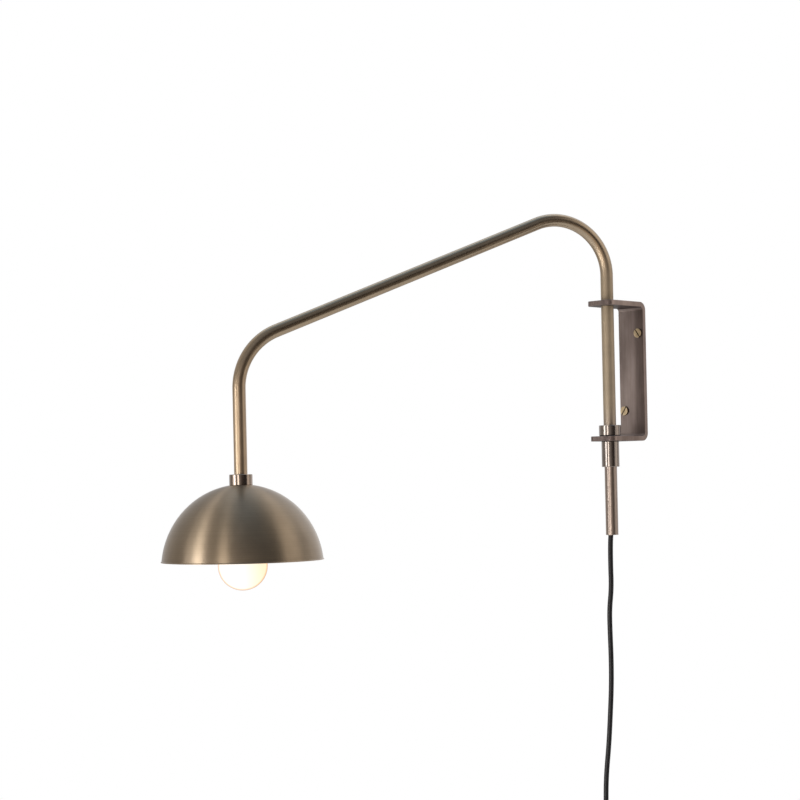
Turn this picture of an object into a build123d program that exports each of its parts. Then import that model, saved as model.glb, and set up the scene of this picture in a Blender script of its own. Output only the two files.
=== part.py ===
from build123d import *
import os
from math import cos, pi, radians, sin, sqrt, tan

# Arm wall sconce: a brass tube bent in two places swings in a U-shaped wall bracket and
# carries a spun dome shade with a screw-in bulb. A cord with a line switch hangs from its tail.
# Millimetres. The wall is the plane Y = 0, the room is on its -Y side, and +Z is up.
# The origin is the centre of the bracket's wall face.

# Wall bracket, bent from flat bar
bracket_width = 39.0
bracket_height = 178.0
bar_thickness = 6.35
pole_standoff = 54.0
ear_past_pole = 19.5
bar_inner_bend = 4.0
ear_corner = 8.0
bar_edge_break = 0.4

# Wall screws, one up near the right edge and one down near the left
screw_offset_x = 12.0
screw_offset_z = 49.5
screw_head_radius = 5.9
screw_head_height = 2.3
screw_head_edge = 0.4
screw_neck_radius = 2.5
screw_thread_radius = 2.24
screw_point = 0.5
screw_hole_clearance = 0.1
screw_length = 12.0
screw_slot_width = 1.5
screw_slot_depth = 1.4
upper_slot_lean = 35.0
lower_slot_lean = -32.0

# Arm tube
tube_radius = 7.9375
tube_wall = 1.25
arm_yaw = 27.5
tail_length = 119.2
pole_rise = 32.5
rear_bend_radius = 69.0
arm_slope = 21.7
slope_length = 367.0
front_bend_radius = 75.0
stem_length = 102.0
tube_end_break = 0.3

# Pivot: liners in the ears, a collar above the lower ear and a sleeve below it
running_clearance = 0.06
fit_clearance = 0.05
bush_wall = 1.3
collar_radius = 14.0
collar_height = 13.0
collar_edge_break = 0.5
thrust_washer_radius = 13.2
thrust_washer_thickness = 0.8
sleeve_radius = 11.25
sleeve_length = 32.4
sleeve_gap = 0.3
spring_washer_room = 1.6
spring_washer_thickness = 0.5
spring_washer_lip = 1.9
spring_bore_clearance = 0.3
spring_pocket_clearance = 0.2
grub_radius = 2.0
grub_hex = 1.0
grub_recess = 0.4
sleeve_grub_spacing = 16.0

# Spun dome shade: part of an ellipsoid with a flat seat for the collar
shade_radius = 97.0
shade_crown = 101.3
shade_rim_above_centre = 10.0
shade_wall = 1.2
shade_seat_radius = 14.5
shade_lip = 0.8
shade_lip_height = 1.6

# Stack that clamps the shade and carries the lampholder
nipple_radius = 5.1
nipple_bore = 3.5
nipple_below_tube = 0.2
tube_seat_depth = 9.0
shade_washer_radius = 12.5
shade_washer_thickness = 1.5
locknut_across_flats = 14.0
locknut_height = 4.0

# Lampholder for a 26 mm screw cap
holder_radius = 19.8
holder_cap_height = 12.0
holder_body_height = 27.0
holder_wall = 2.2
holder_neck_height = 3.0
holder_top_edge = 2.0
holder_bottom_edge = 1.2
room_over_contact_base = 2.0
contact_base_thickness = 4.0
shell_inner_radius = 13.5
shell_wall = 0.45
shell_length = 24.5
contact_width = 5.0
contact_thickness = 0.6
contact_spring = 1.3
terminal_radius = 1.6
terminal_spacing = 18.0
terminal_head_height = 1.4
terminal_recess = 0.5
lead_radius = 0.9
lead_bend_radius = 1.3
lead_half_gap = 0.3
cable_in_nipple = 1.0

# Bulb
bulb_radius = 29.7
bulb_length = 108.0
bulb_glass_wall = 0.8
bulb_neck_radius = 13.0
bulb_cap_radius = 13.1
bulb_cap_length = 24.0
bulb_cap_wall = 0.4
bulb_tip_radius = 4.8
bulb_tip_height = 2.2
bulb_tip_edge = 1.2
bulb_insulator_height = 3.2
bulb_insulator_lip = 0.8
bulb_insulator_thickness = 1.0
bulb_cap_shoulder = 2.5
bulb_shoulder_drop = 1.5
glass_below_cap = 3.0
light_post_radius = 4.0
light_disc_radius = 10.0
light_disc_thickness = 2.0
light_flare = 2.0
light_post_below_cap = 8.0

# Cord: the plane that it hangs in, and the grip inside the tail
cord_radius = 3.2
cord_plane_angle = 44.0
grip_length = 12.0
grip_above_mouth = 30.0
cord_above_switch = 353.8

# Line switch
switch_side = -15.2
switch_out = -0.2
switch_width = 27.0
switch_length = 60.0
switch_half_depth = 10.0
switch_corner = 9.0
switch_edge = 2.5
switch_wall = 2.0
grommet_length = 12.0
grommet_root_radius = 5.6
grommet_tip_radius = 4.3
rocker_swing = 16.0
rocker_radius = 9.7
rocker_width = 11.4
rocker_gap = 0.3
rocker_pin_radius = 1.0
rocker_pin_depth = 6.5
rocker_crown = 3.6
rocker_belly = 3.0
switch_screw_radius = 1.5
switch_screw_head_radius = 2.55
switch_screw_recess = 0.4
switch_screw_spacing = 44.0
switch_post_radius = 3.0
switch_boss_wall = 1.8
switch_boss_margin = 1.5
switch_boss_foot = 1.0
strip_width = 6.0
strip_length = 10.0
strip_thickness = 0.6
strip_spacing = 18.0
strip_dome_radius = 1.6
strip_dome_height = 1.2
strip_dome_spacing = 12.0

# Wound rest of the cord, its tie and its plug
coil_mid_radius = 34.5
coil_start_side = -16.8
coil_below_switch = 76.0
coil_layers = 4
coil_quarters_per_layer = 9
coil_gap = 0.55
plug_below_coil = 14.0
tie_thickness = 1.2
tie_width = 9.0
tie_clearance = 0.7
plug_relief_length = 25.0
plug_relief_root = 6.5
plug_relief_tip = 4.2
plug_width = 25.0
plug_depth = 18.0
plug_length = 30.0
plug_corner = 4.0
plug_neck_width = 18.0
plug_neck_depth = 15.5
plug_shoulder = 12.0
blade_length = 17.5
blade_width = 6.35
blade_thickness = 1.5
blade_spacing = 12.7
blade_tip_break = 0.4

os.makedirs("parts", exist_ok=True)

# Levels and places that follow from the sizes above
ear_length = pole_standoff + ear_past_pole
ear_top = bracket_height / 2
lower_ear_bottom = -ear_top
lower_ear_top = lower_ear_bottom + bar_thickness
tube_bore = tube_radius - tube_wall
bush_bore = tube_radius + running_clearance
bush_radius = bush_bore + bush_wall
pole_axis = Axis((0, -pole_standoff, 0), (0, 0, 1))
pole_profile_plane = Plane(origin=(0, -pole_standoff, 0), x_dir=(1, 0, 0), z_dir=(0, -1, 0))
arm_direction = Vector(-sin(radians(arm_yaw)), -cos(radians(arm_yaw)), 0)
arm_plane = Plane(
    origin=(0, -pole_standoff, 0), x_dir=arm_direction, z_dir=arm_direction.cross(Vector(0, 0, 1))
)
tail_bottom = lower_ear_bottom - tail_length
sleeve_top = lower_ear_bottom - sleeve_gap
sleeve_bottom = sleeve_top - sleeve_length
sleeve_middle = (sleeve_top + sleeve_bottom) / 2
collar_bottom = lower_ear_top + thrust_washer_thickness

# The tube's centreline, in the upright plane through the pole and the stem
with BuildLine(arm_plane) as arm_path:
    pole_line = Line((0, tail_bottom), (0, ear_top + pole_rise))
    rear_bend = JernArc(pole_line @ 1, pole_line % 1, rear_bend_radius, -(90 + arm_slope))
    slope_line = PolarLine(rear_bend @ 1, slope_length, direction=rear_bend % 1)
    front_bend = JernArc(slope_line @ 1, slope_line % 1, front_bend_radius, -(90 - arm_slope))
    stem_line = PolarLine(front_bend @ 1, stem_length + tube_seat_depth, direction=front_bend % 1)
stem_end = arm_path.line @ 1
stem_axis = Axis((stem_end.X, stem_end.Y, 0), (0, 0, 1))
stem_profile_plane = Plane(origin=(stem_end.X, stem_end.Y, 0), x_dir=(1, 0, 0), z_dir=(0, -1, 0))

# Levels down the stem
shade_collar_top = stem_end.Z + tube_seat_depth
shade_seat = shade_collar_top - collar_height
shade_washer_top = shade_seat - shade_wall
locknut_top = shade_washer_top - shade_washer_thickness
holder_top = locknut_top - locknut_height
holder_split = holder_top - holder_cap_height
holder_bottom = holder_split - holder_body_height
contact_base_top = holder_top - holder_neck_height - room_over_contact_base
contact_base_bottom = contact_base_top - contact_base_thickness
bulb_tip = contact_base_bottom - contact_thickness - contact_spring
bulb_bottom = bulb_tip - bulb_length

# Which way the hidden set screws face: back towards the wall, away from the shade
back_direction = -arm_direction


def stem_plane(level):
    """Level plane on the stem's axis."""
    return Plane(origin=(stem_end.X, stem_end.Y, level))


def pole_plane(level):
    """Level plane on the pole's axis."""
    return Plane(origin=(0, -pole_standoff, level))


# Wall bracket: a U bent from flat bar, with rounded ear ends and two screw holes
with BuildPart() as wall_bracket:
    with BuildSketch(Plane.YZ) as bracket_profile:
        with Locations((-ear_length / 2, 0)):
            outline = Rectangle(ear_length, bracket_height)
        fillet(outline.vertices().group_by(Axis.X)[-1], bar_inner_bend + bar_thickness)
    extrude(amount=bracket_width / 2, both=True)
    with BuildSketch(Plane.YZ) as bracket_hollow:
        with Locations((-ear_length / 2 - bar_thickness / 2, 0)):
            hollow = Rectangle(ear_length - bar_thickness, bracket_height - 2 * bar_thickness)
        fillet(hollow.vertices().group_by(Axis.X)[-1], bar_inner_bend)
    extrude(amount=bracket_width, both=True, mode=Mode.SUBTRACT)
    ear_edges = wall_bracket.edges().filter_by(Axis.Z).group_by(Axis.Y)[0]
    fillet(ear_edges, ear_corner)
    with Locations(pole_plane(0)):
        Cylinder(bush_radius, 2 * bracket_height, mode=Mode.SUBTRACT)
    with Locations(Plane.XZ):
        with Locations((screw_offset_x, screw_offset_z), (-screw_offset_x, -screw_offset_z)):
            Cylinder(
                screw_neck_radius + screw_hole_clearance, 4 * bar_thickness, mode=Mode.SUBTRACT
            )
    side_faces = wall_bracket.faces().filter_by(Axis.X)
    side_edges = [edge for face in side_faces for edge in face.outer_wire().edges()]
    chamfer(side_edges, bar_edge_break)
wall_bracket.part.label = "wall_bracket"
export_step(wall_bracket.part, "parts/wall_bracket.step")

# Wall screws: slotted cheese heads on the back plate, plain necks through it, threads behind it
with BuildPart() as wall_screws:
    for place_x, place_z, lean in (
        (screw_offset_x, screw_offset_z, upper_slot_lean),
        (-screw_offset_x, -screw_offset_z, lower_slot_lean),
    ):
        head_plane = Plane(
            origin=(place_x, -bar_thickness, place_z), x_dir=(1, 0, 0), z_dir=(0, -1, 0)
        )
        with BuildSketch(head_plane):
            Circle(screw_head_radius)
        extrude(amount=screw_head_height)
        with BuildSketch(head_plane.offset(screw_head_height)):
            Rectangle(screw_slot_width, 2.2 * screw_head_radius, rotation=lean)
        extrude(amount=-screw_slot_depth, mode=Mode.SUBTRACT)
        with BuildSketch(head_plane):
            Circle(screw_neck_radius)
        extrude(amount=-bar_thickness)
        with BuildSketch(head_plane.offset(-bar_thickness)):
            Circle(screw_thread_radius)
        extrude(amount=bar_thickness - screw_length)
    shank_ends = wall_screws.faces().group_by(Axis.Y)[-1]
    chamfer([edge for face in shank_ends for edge in face.edges()], screw_point)
    head_rims = [
        edge
        for edge in wall_screws.edges().filter_by(GeomType.CIRCLE)
        if abs(edge.center().Y + bar_thickness + screw_head_height) < 0.01
    ]
    fillet(head_rims, screw_head_edge)
wall_screws.part.label = "wall_screws"
export_step(wall_screws.part, "parts/wall_screws.step")

# Liners pressed into the ear holes, which the tube turns in
for bush_name, bush_bottom in (
    ("upper_bush", ear_top - bar_thickness),
    ("lower_bush", lower_ear_bottom),
):
    with BuildPart() as ear_bush:
        with BuildSketch(pole_plane(bush_bottom)):
            Circle(bush_radius)
            Circle(bush_bore, mode=Mode.SUBTRACT)
        extrude(amount=bar_thickness)
    ear_bush.part.label = bush_name
    export_step(ear_bush.part, "parts/" + bush_name + ".step")

# Thrust washer that the collar turns on
with BuildPart() as thrust_washer:
    with BuildSketch(pole_plane(lower_ear_top)):
        Circle(thrust_washer_radius)
        Circle(bush_bore, mode=Mode.SUBTRACT)
    extrude(amount=thrust_washer_thickness)
thrust_washer.part.label = "thrust_washer"
export_step(thrust_washer.part, "parts/thrust_washer.step")

# Arm tube: tail, pole, rear bend, slope, front bend and stem in one bent tube
with BuildPart() as arm_tube:
    with BuildSketch(Plane(origin=arm_path.line @ 0, z_dir=arm_path.line % 0)):
        Circle(tube_radius)
        Circle(tube_bore, mode=Mode.SUBTRACT)
    sweep(path=arm_path.line)
    mouth = arm_tube.faces().sort_by(Axis.Z)[0]
    chamfer(mouth.edges(), tube_end_break)
arm_tube.part.label = "arm_tube"
export_step(arm_tube.part, "parts/arm_tube.step")


def turned_ring(profile_plane, outer, inner, bottom, top, edge_break):
    """Profile of a bored collar with broken outer edges, ready to revolve."""
    with BuildSketch(profile_plane) as ring_profile:
        with BuildLine():
            Polyline(
                (inner, bottom),
                (outer - edge_break, bottom),
                (outer, bottom + edge_break),
                (outer, top - edge_break),
                (outer - edge_break, top),
                (inner, top),
                close=True,
            )
        make_face()
    return ring_profile.sketch


def grub_plane(axis_plane, start_radius):
    """Plane on a collar's back, square to the set screw, a given way out from the axis."""
    return Plane(
        origin=axis_plane.origin + back_direction * start_radius,
        x_dir=Vector(0, 0, 1),
        z_dir=back_direction,
    )


# Collar that carries the arm on the lower ear
collar_bore = tube_radius + fit_clearance
with BuildPart() as arm_collar:
    add(
        turned_ring(
            pole_profile_plane, collar_radius, collar_bore, collar_bottom,
            collar_bottom + collar_height, collar_edge_break,
        )
    )
    revolve(axis=pole_axis)
    arm_collar_grub_plane = grub_plane(pole_plane(collar_bottom + collar_height / 2), 0)
    with BuildSketch(arm_collar_grub_plane):
        Circle(grub_radius + fit_clearance)
    extrude(amount=2 * collar_radius, mode=Mode.SUBTRACT)
arm_collar.part.label = "arm_collar"
export_step(arm_collar.part, "parts/arm_collar.step")

# Sleeve that keeps the arm from lifting out, with a spring washer in its mouth
spring_bore = tube_radius + spring_bore_clearance
spring_pocket_radius = spring_bore + spring_washer_lip + spring_pocket_clearance
with BuildPart() as pivot_sleeve:
    add(
        turned_ring(
            pole_profile_plane, sleeve_radius, collar_bore, sleeve_bottom,
            sleeve_top, collar_edge_break,
        )
    )
    revolve(axis=pole_axis)
    with BuildSketch(pole_plane(sleeve_top)):
        Circle(spring_pocket_radius)
    extrude(amount=-spring_washer_room, mode=Mode.SUBTRACT)
    for side in (-1, 1):
        with BuildSketch(grub_plane(pole_plane(sleeve_middle + side * sleeve_grub_spacing / 2), 0)):
            Circle(grub_radius + fit_clearance)
        extrude(amount=2 * sleeve_radius, mode=Mode.SUBTRACT)
pivot_sleeve.part.label = "pivot_sleeve"
export_step(pivot_sleeve.part, "parts/pivot_sleeve.step")

# Coned spring washer between the sleeve and the ear: its push makes the arm stay where it is put
spring_foot = sleeve_top - spring_washer_room
spring_crest = lower_ear_bottom - fit_clearance
with BuildPart() as spring_washer:
    with BuildSketch(pole_profile_plane):
        with BuildLine():
            Polyline(
                (spring_bore + spring_washer_lip, spring_foot),
                (spring_bore + spring_washer_lip, spring_foot + spring_washer_thickness),
                (spring_bore, spring_crest),
                (spring_bore, spring_crest - spring_washer_thickness),
                close=True,
            )
        make_face()
    revolve(axis=pole_axis)
spring_washer.part.label = "spring_washer"
export_step(spring_washer.part, "parts/spring_washer.step")

# Collar that joins the stem to the shade: the tube sits in its top, a nipple screws into its web
with BuildPart() as shade_collar:
    add(
        turned_ring(
            stem_profile_plane, collar_radius, nipple_radius + fit_clearance, shade_seat,
            shade_collar_top, collar_edge_break,
        )
    )
    revolve(axis=stem_axis)
    with BuildSketch(stem_plane(shade_collar_top)):
        Circle(collar_bore)
    extrude(amount=-tube_seat_depth, mode=Mode.SUBTRACT)
    with BuildSketch(grub_plane(stem_plane(shade_seat + collar_height / 2), 0)):
        Circle(grub_radius + fit_clearance)
    extrude(amount=2 * collar_radius, mode=Mode.SUBTRACT)
shade_collar.part.label = "shade_collar"
export_step(shade_collar.part, "parts/shade_collar.step")


# Socket set screws, from the tube's wall to just under the surface of what they hold
for screws_name, screw_planes, held_radius in (
    (
        "collar_set_screws",
        [pole_plane(collar_bottom + collar_height / 2), stem_plane(shade_seat + collar_height / 2)],
        collar_radius,
    ),
    (
        "sleeve_set_screws",
        [pole_plane(sleeve_middle + side * sleeve_grub_spacing / 2) for side in (-1, 1)],
        sleeve_radius,
    ),
):
    grub_length = held_radius - grub_recess - collar_bore
    with BuildPart() as set_screws:
        for screw_plane in screw_planes:
            with BuildSketch(grub_plane(screw_plane, collar_bore)):
                Circle(grub_radius)
            extrude(amount=grub_length)
            with BuildSketch(grub_plane(screw_plane, held_radius - grub_recess)):
                RegularPolygon(grub_hex, 6)
            extrude(amount=-grub_length / 2, mode=Mode.SUBTRACT)
    set_screws.part.label = screws_name
    export_step(set_screws.part, "parts/" + screws_name + ".step")

# Dome shade: the ellipsoid's centre lies below the rim, and its top is flattened for the collar
shade_seat_rise = shade_crown * sqrt(1 - (shade_seat_radius / shade_radius) ** 2)
shade_centre = shade_seat - shade_seat_rise
shade_rim = shade_centre + shade_rim_above_centre
shade_rim_radius = shade_radius * sqrt(1 - (shade_rim_above_centre / shade_crown) ** 2)
with BuildPart() as dome_shade:
    with BuildSketch(stem_profile_plane):
        with Locations((0, shade_centre)):
            Ellipse(shade_radius, shade_crown)
        with Locations((0, shade_centre)):
            Ellipse(shade_radius - shade_wall, shade_crown - shade_wall, mode=Mode.SUBTRACT)
        with Locations((0, shade_seat - shade_wall / 2)):
            Rectangle(2 * shade_seat_radius, shade_wall)
        with Locations((shade_radius, (shade_seat + shade_rim) / 2)):
            Rectangle(
                2 * (shade_radius - nipple_radius - fit_clearance),
                shade_seat - shade_rim,
                mode=Mode.INTERSECT,
            )
        with BuildLine():
            Polyline(
                (shade_rim_radius - shade_wall / 2, shade_rim),
                (shade_rim_radius + shade_lip, shade_rim),
                (shade_rim_radius + shade_lip, shade_rim + shade_lip_height / 3),
                (shade_rim_radius - shade_wall / 2, shade_rim + shade_lip_height),
                close=True,
            )
        make_face()
    revolve(axis=stem_axis)
dome_shade.part.label = "dome_shade"
export_step(dome_shade.part, "parts/dome_shade.step")

# Hollow nipple through the collar's web, the shade and the lampholder's neck
nipple_top = shade_collar_top - tube_seat_depth - nipple_below_tube
nipple_bottom = holder_top - holder_neck_height
with BuildPart() as shade_nipple:
    with BuildSketch(stem_plane(nipple_bottom)):
        Circle(nipple_radius)
        Circle(nipple_bore, mode=Mode.SUBTRACT)
    extrude(amount=nipple_top - nipple_bottom)
shade_nipple.part.label = "shade_nipple"
export_step(shade_nipple.part, "parts/shade_nipple.step")

with BuildPart() as shade_washer:
    with BuildSketch(stem_plane(shade_washer_top)):
        Circle(shade_washer_radius)
        Circle(nipple_radius + fit_clearance, mode=Mode.SUBTRACT)
    extrude(amount=-shade_washer_thickness)
shade_washer.part.label = "shade_washer"
export_step(shade_washer.part, "parts/shade_washer.step")

with BuildPart() as shade_locknut:
    with BuildSketch(stem_plane(locknut_top)):
        RegularPolygon(locknut_across_flats / 2, 6, major_radius=False)
        Circle(nipple_radius + fit_clearance, mode=Mode.SUBTRACT)
    extrude(amount=-locknut_height)
shade_locknut.part.label = "shade_locknut"
export_step(shade_locknut.part, "parts/shade_locknut.step")

# Lampholder: cap with a threaded neck, body, contact base, screw shell and centre contact
with BuildPart() as lampholder_cap:
    with BuildSketch(stem_plane(holder_top)):
        Circle(holder_radius)
    extrude(amount=-holder_cap_height)
    fillet(lampholder_cap.faces().sort_by(Axis.Z)[-1].edges(), holder_top_edge)
    with BuildSketch(stem_plane(holder_split)):
        Circle(holder_radius - holder_wall)
    extrude(amount=holder_cap_height - holder_neck_height, mode=Mode.SUBTRACT)
    with BuildSketch(stem_plane(holder_top)):
        Circle(nipple_radius + fit_clearance)
    extrude(amount=-holder_cap_height, mode=Mode.SUBTRACT)
lampholder_cap.part.label = "lampholder_cap"
export_step(lampholder_cap.part, "parts/lampholder_cap.step")

shell_top = contact_base_bottom
shell_outer = shell_inner_radius + shell_wall
with BuildPart() as lampholder_body:
    with BuildSketch(stem_plane(holder_split)):
        Circle(holder_radius)
    extrude(amount=-holder_body_height)
    fillet(lampholder_body.faces().sort_by(Axis.Z)[0].edges(), holder_bottom_edge)
    with BuildSketch(stem_plane(holder_split)):
        Circle(holder_radius - holder_wall - fit_clearance)
    extrude(amount=contact_base_bottom - holder_split)
    with BuildSketch(stem_plane(contact_base_bottom)):
        Circle(shell_outer + fit_clearance)
    extrude(amount=holder_bottom - contact_base_bottom, mode=Mode.SUBTRACT)
lampholder_body.part.label = "lampholder_body"
export_step(lampholder_body.part, "parts/lampholder_body.step")

with BuildPart() as contact_base:
    with BuildSketch(stem_plane(contact_base_top)):
        Circle(holder_radius - holder_wall - fit_clearance)
    extrude(amount=-contact_base_thickness)
    with BuildSketch(stem_plane(contact_base_top)):
        with Locations((terminal_spacing / 2, 0), (-terminal_spacing / 2, 0)):
            Circle(terminal_radius + fit_clearance)
    extrude(amount=-contact_base_thickness, mode=Mode.SUBTRACT)
contact_base.part.label = "contact_base"
export_step(contact_base.part, "parts/contact_base.step")

with BuildPart() as screw_shell:
    with BuildSketch(stem_profile_plane):
        with BuildLine():
            Polyline(
                (shell_inner_radius, shell_top - shell_length),
                (shell_outer, shell_top - shell_length),
                (shell_outer, shell_top),
                (shell_inner_radius / 2, shell_top),
                (shell_inner_radius / 2, shell_top - shell_wall),
                (shell_inner_radius, shell_top - shell_wall),
                close=True,
            )
        make_face()
    revolve(axis=stem_axis)
screw_shell.part.label = "screw_shell"
export_step(screw_shell.part, "parts/screw_shell.step")

# Spring tongue that the bulb's tip presses on
with BuildPart() as centre_contact:
    with BuildSketch(stem_profile_plane):
        with BuildLine():
            Polyline(
                (-contact_width, shell_top),
                (-contact_width, shell_top - contact_thickness),
                (-contact_width / 2, shell_top - contact_thickness),
                (0, bulb_tip),
                (contact_width, bulb_tip),
                (contact_width, bulb_tip + contact_thickness),
                (0, bulb_tip + contact_thickness),
                (-contact_width / 2 + contact_thickness, shell_top),
                close=True,
            )
        make_face()
    extrude(amount=contact_width / 2, both=True)
centre_contact.part.label = "centre_contact"
export_step(centre_contact.part, "parts/centre_contact.step")

with BuildPart() as terminal_screws:
    with BuildSketch(stem_plane(contact_base_bottom + terminal_recess)):
        with Locations((terminal_spacing / 2, 0), (-terminal_spacing / 2, 0)):
            Circle(terminal_radius)
    extrude(amount=contact_base_thickness - terminal_recess)
    with BuildSketch(stem_plane(contact_base_top)):
        with Locations((terminal_spacing / 2, 0), (-terminal_spacing / 2, 0)):
            Circle(2 * terminal_radius)
    extrude(amount=terminal_head_height)
terminal_screws.part.label = "terminal_screws"
export_step(terminal_screws.part, "parts/terminal_screws.step")

# Bulb: cap, insulator, tip contact, glass and the light engine on its post
cap_top = bulb_tip - bulb_insulator_height
cap_bottom = cap_top - bulb_cap_length
with BuildPart() as bulb_tip_contact:
    with BuildSketch(stem_profile_plane):
        with BuildLine():
            Polyline(
                (0, bulb_tip),
                (bulb_tip_radius - bulb_tip_edge, bulb_tip),
                (bulb_tip_radius, bulb_tip - bulb_tip_height / 2),
                (bulb_tip_radius, bulb_tip - bulb_tip_height),
                (0, bulb_tip - bulb_tip_height),
                close=True,
            )
        make_face()
    revolve(axis=stem_axis)
bulb_tip_contact.part.label = "bulb_tip_contact"
export_step(bulb_tip_contact.part, "parts/bulb_tip_contact.step")

insulator_top = bulb_tip - bulb_tip_height
insulator_foot = cap_top - bulb_shoulder_drop - bulb_insulator_thickness
shoulder_radius = bulb_cap_radius - bulb_cap_shoulder
with BuildPart() as bulb_insulator:
    with BuildSketch(stem_profile_plane):
        with BuildLine():
            Polyline(
                (0, insulator_top),
                (bulb_tip_radius + bulb_insulator_lip, insulator_top),
                (shoulder_radius, insulator_foot + bulb_insulator_thickness),
                (shoulder_radius, insulator_foot),
                (0, insulator_foot),
                close=True,
            )
        make_face()
    revolve(axis=stem_axis)
bulb_insulator.part.label = "bulb_insulator"
export_step(bulb_insulator.part, "parts/bulb_insulator.step")

cap_inner_radius = bulb_cap_radius - bulb_cap_wall
with BuildPart() as bulb_cap:
    with BuildSketch(stem_profile_plane):
        with BuildLine():
            Polyline(
                (shoulder_radius, insulator_foot + bulb_insulator_thickness),
                (bulb_cap_radius, insulator_foot - bulb_insulator_thickness),
                (bulb_cap_radius, cap_bottom),
                (cap_inner_radius, cap_bottom),
                (cap_inner_radius, insulator_foot - bulb_insulator_thickness),
                (shoulder_radius, insulator_foot + bulb_insulator_thickness - bulb_cap_wall),
                close=True,
            )
        make_face()
    revolve(axis=stem_axis)
bulb_cap.part.label = "bulb_cap"
export_step(bulb_cap.part, "parts/bulb_cap.step")

# The glass is a sphere that runs into a neck arc, tangent where the two circles meet
bulb_centre = bulb_bottom + bulb_radius
glass_top = cap_bottom + glass_below_cap
glass_neck = cap_inner_radius - fit_clearance
neck_drop = cap_bottom - bulb_centre
neck_arc_radius = (neck_drop**2 + bulb_neck_radius**2 - bulb_radius**2) / (
    2 * (bulb_radius - bulb_neck_radius)
)
neck_centre = Vector(bulb_neck_radius + neck_arc_radius, cap_bottom)
glass_centre = Vector(0, bulb_centre)
to_neck = (neck_centre - glass_centre).normalized()


def glass_outline(inset):
    """Outline from the neck down to the bulb's bottom, a given way inside the outer face."""
    sphere = bulb_radius - inset
    tangent_point = glass_centre + to_neck * sphere
    shoulder_turn = to_neck.rotate(Axis.Z, -45)
    neck_middle = neck_centre + (
        (Vector(-1, 0) - to_neck).normalized() * (neck_arc_radius + inset)
    )
    neck_arc = ThreePointArc(
        (bulb_neck_radius - inset, cap_bottom), neck_middle, tangent_point
    )
    ball_arc = ThreePointArc(
        tangent_point, glass_centre + shoulder_turn * sphere, (0, bulb_centre - sphere)
    )
    return neck_arc, ball_arc


with BuildPart() as bulb_glass:
    with BuildSketch(stem_profile_plane):
        with BuildLine():
            glass_outline(0)
            Line((0, bulb_bottom), (0, bulb_bottom + bulb_glass_wall))
            glass_outline(bulb_glass_wall)
            Polyline(
                (bulb_neck_radius - bulb_glass_wall, cap_bottom),
                (glass_neck - bulb_glass_wall, glass_top),
                (glass_neck, glass_top),
                (glass_neck, cap_bottom),
                (bulb_neck_radius, cap_bottom),
            )
        make_face()
    revolve(axis=stem_axis)
bulb_glass.part.label = "bulb_glass"
export_step(bulb_glass.part, "parts/bulb_glass.step")

light_foot_radius = shoulder_radius - bulb_cap_wall - fit_clearance
disc_top = cap_bottom - light_post_below_cap - light_flare
with BuildPart() as bulb_light_source:
    with BuildSketch(stem_profile_plane):
        with BuildLine():
            Polyline(
                (0, insulator_foot),
                (light_foot_radius, insulator_foot),
                (light_foot_radius, insulator_foot - bulb_insulator_thickness),
                (light_post_radius, cap_bottom),
                (light_post_radius, disc_top + light_flare),
                (light_disc_radius, disc_top),
                (light_disc_radius, disc_top - light_disc_thickness),
                (0, disc_top - light_disc_thickness),
                close=True,
            )
        make_face()
    revolve(axis=stem_axis)
bulb_light_source.part.label = "bulb_light_source"
export_step(bulb_light_source.part, "parts/bulb_light_source.step")

# Cord grip inside the tail
grip_bottom = tail_bottom + grip_above_mouth
with BuildPart() as cord_grip:
    with BuildSketch(pole_plane(grip_bottom)):
        Circle(tube_bore - fit_clearance)
        Circle(cord_radius + fit_clearance, mode=Mode.SUBTRACT)
    extrude(amount=grip_length)
cord_grip.part.label = "cord_grip"
export_step(cord_grip.part, "parts/cord_grip.step")

# The cord inside the arm follows the tube from the grip to the lampholder
cable_end = nipple_bottom + cable_in_nipple
with BuildLine(arm_plane) as cable_path:
    cable_pole = Line((0, grip_bottom), (0, ear_top + pole_rise))
    cable_rear = JernArc(cable_pole @ 1, cable_pole % 1, rear_bend_radius, -(90 + arm_slope))
    cable_slope = PolarLine(cable_rear @ 1, slope_length, direction=cable_rear % 1)
    cable_front = JernArc(cable_slope @ 1, cable_slope % 1, front_bend_radius, -(90 - arm_slope))
    cable_stem = PolarLine(
        cable_front @ 1, (cable_front @ 1).Z - cable_end, direction=cable_front % 1
    )
with BuildPart() as cord_in_arm:
    with BuildSketch(Plane(origin=cable_path.line @ 0, z_dir=cable_path.line % 0)):
        Circle(cord_radius)
    sweep(path=cable_path.line)
cord_in_arm.part.label = "cord_in_arm"
export_step(cord_in_arm.part, "parts/cord_in_arm.step")

# Two wires from the cord's end to the terminal screws
lead_side = lead_radius + lead_half_gap
lead_level = contact_base_top + lead_radius + fit_clearance
lead_reach = terminal_spacing / 2 - 2 * terminal_radius - fit_clearance
with BuildPart() as holder_leads:
    for side in (-1, 1):
        with BuildLine(stem_profile_plane) as lead_path:
            FilletPolyline(
                (side * lead_side, cable_end),
                (side * lead_side, lead_level),
                (side * lead_reach, lead_level),
                radius=lead_bend_radius,
            )
        with BuildSketch(Plane(origin=lead_path.line @ 0, z_dir=lead_path.line % 0)):
            Circle(lead_radius)
        sweep(path=lead_path.line)
holder_leads.part.label = "holder_leads"
export_step(holder_leads.part, "parts/holder_leads.step")

# The plane that the cord hangs in: sideways, up, and out of the plane
cord_plane = Plane(
    origin=(0, -pole_standoff, 0),
    x_dir=(cos(radians(cord_plane_angle)), sin(radians(cord_plane_angle)), 0),
    z_dir=(sin(radians(cord_plane_angle)), -cos(radians(cord_plane_angle)), 0),
)


def hung(sideways, level, out=0.0):
    """Point of the cord's plane in the object's frame."""
    return cord_plane.from_local_coords(Vector(sideways, level, out))


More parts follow.
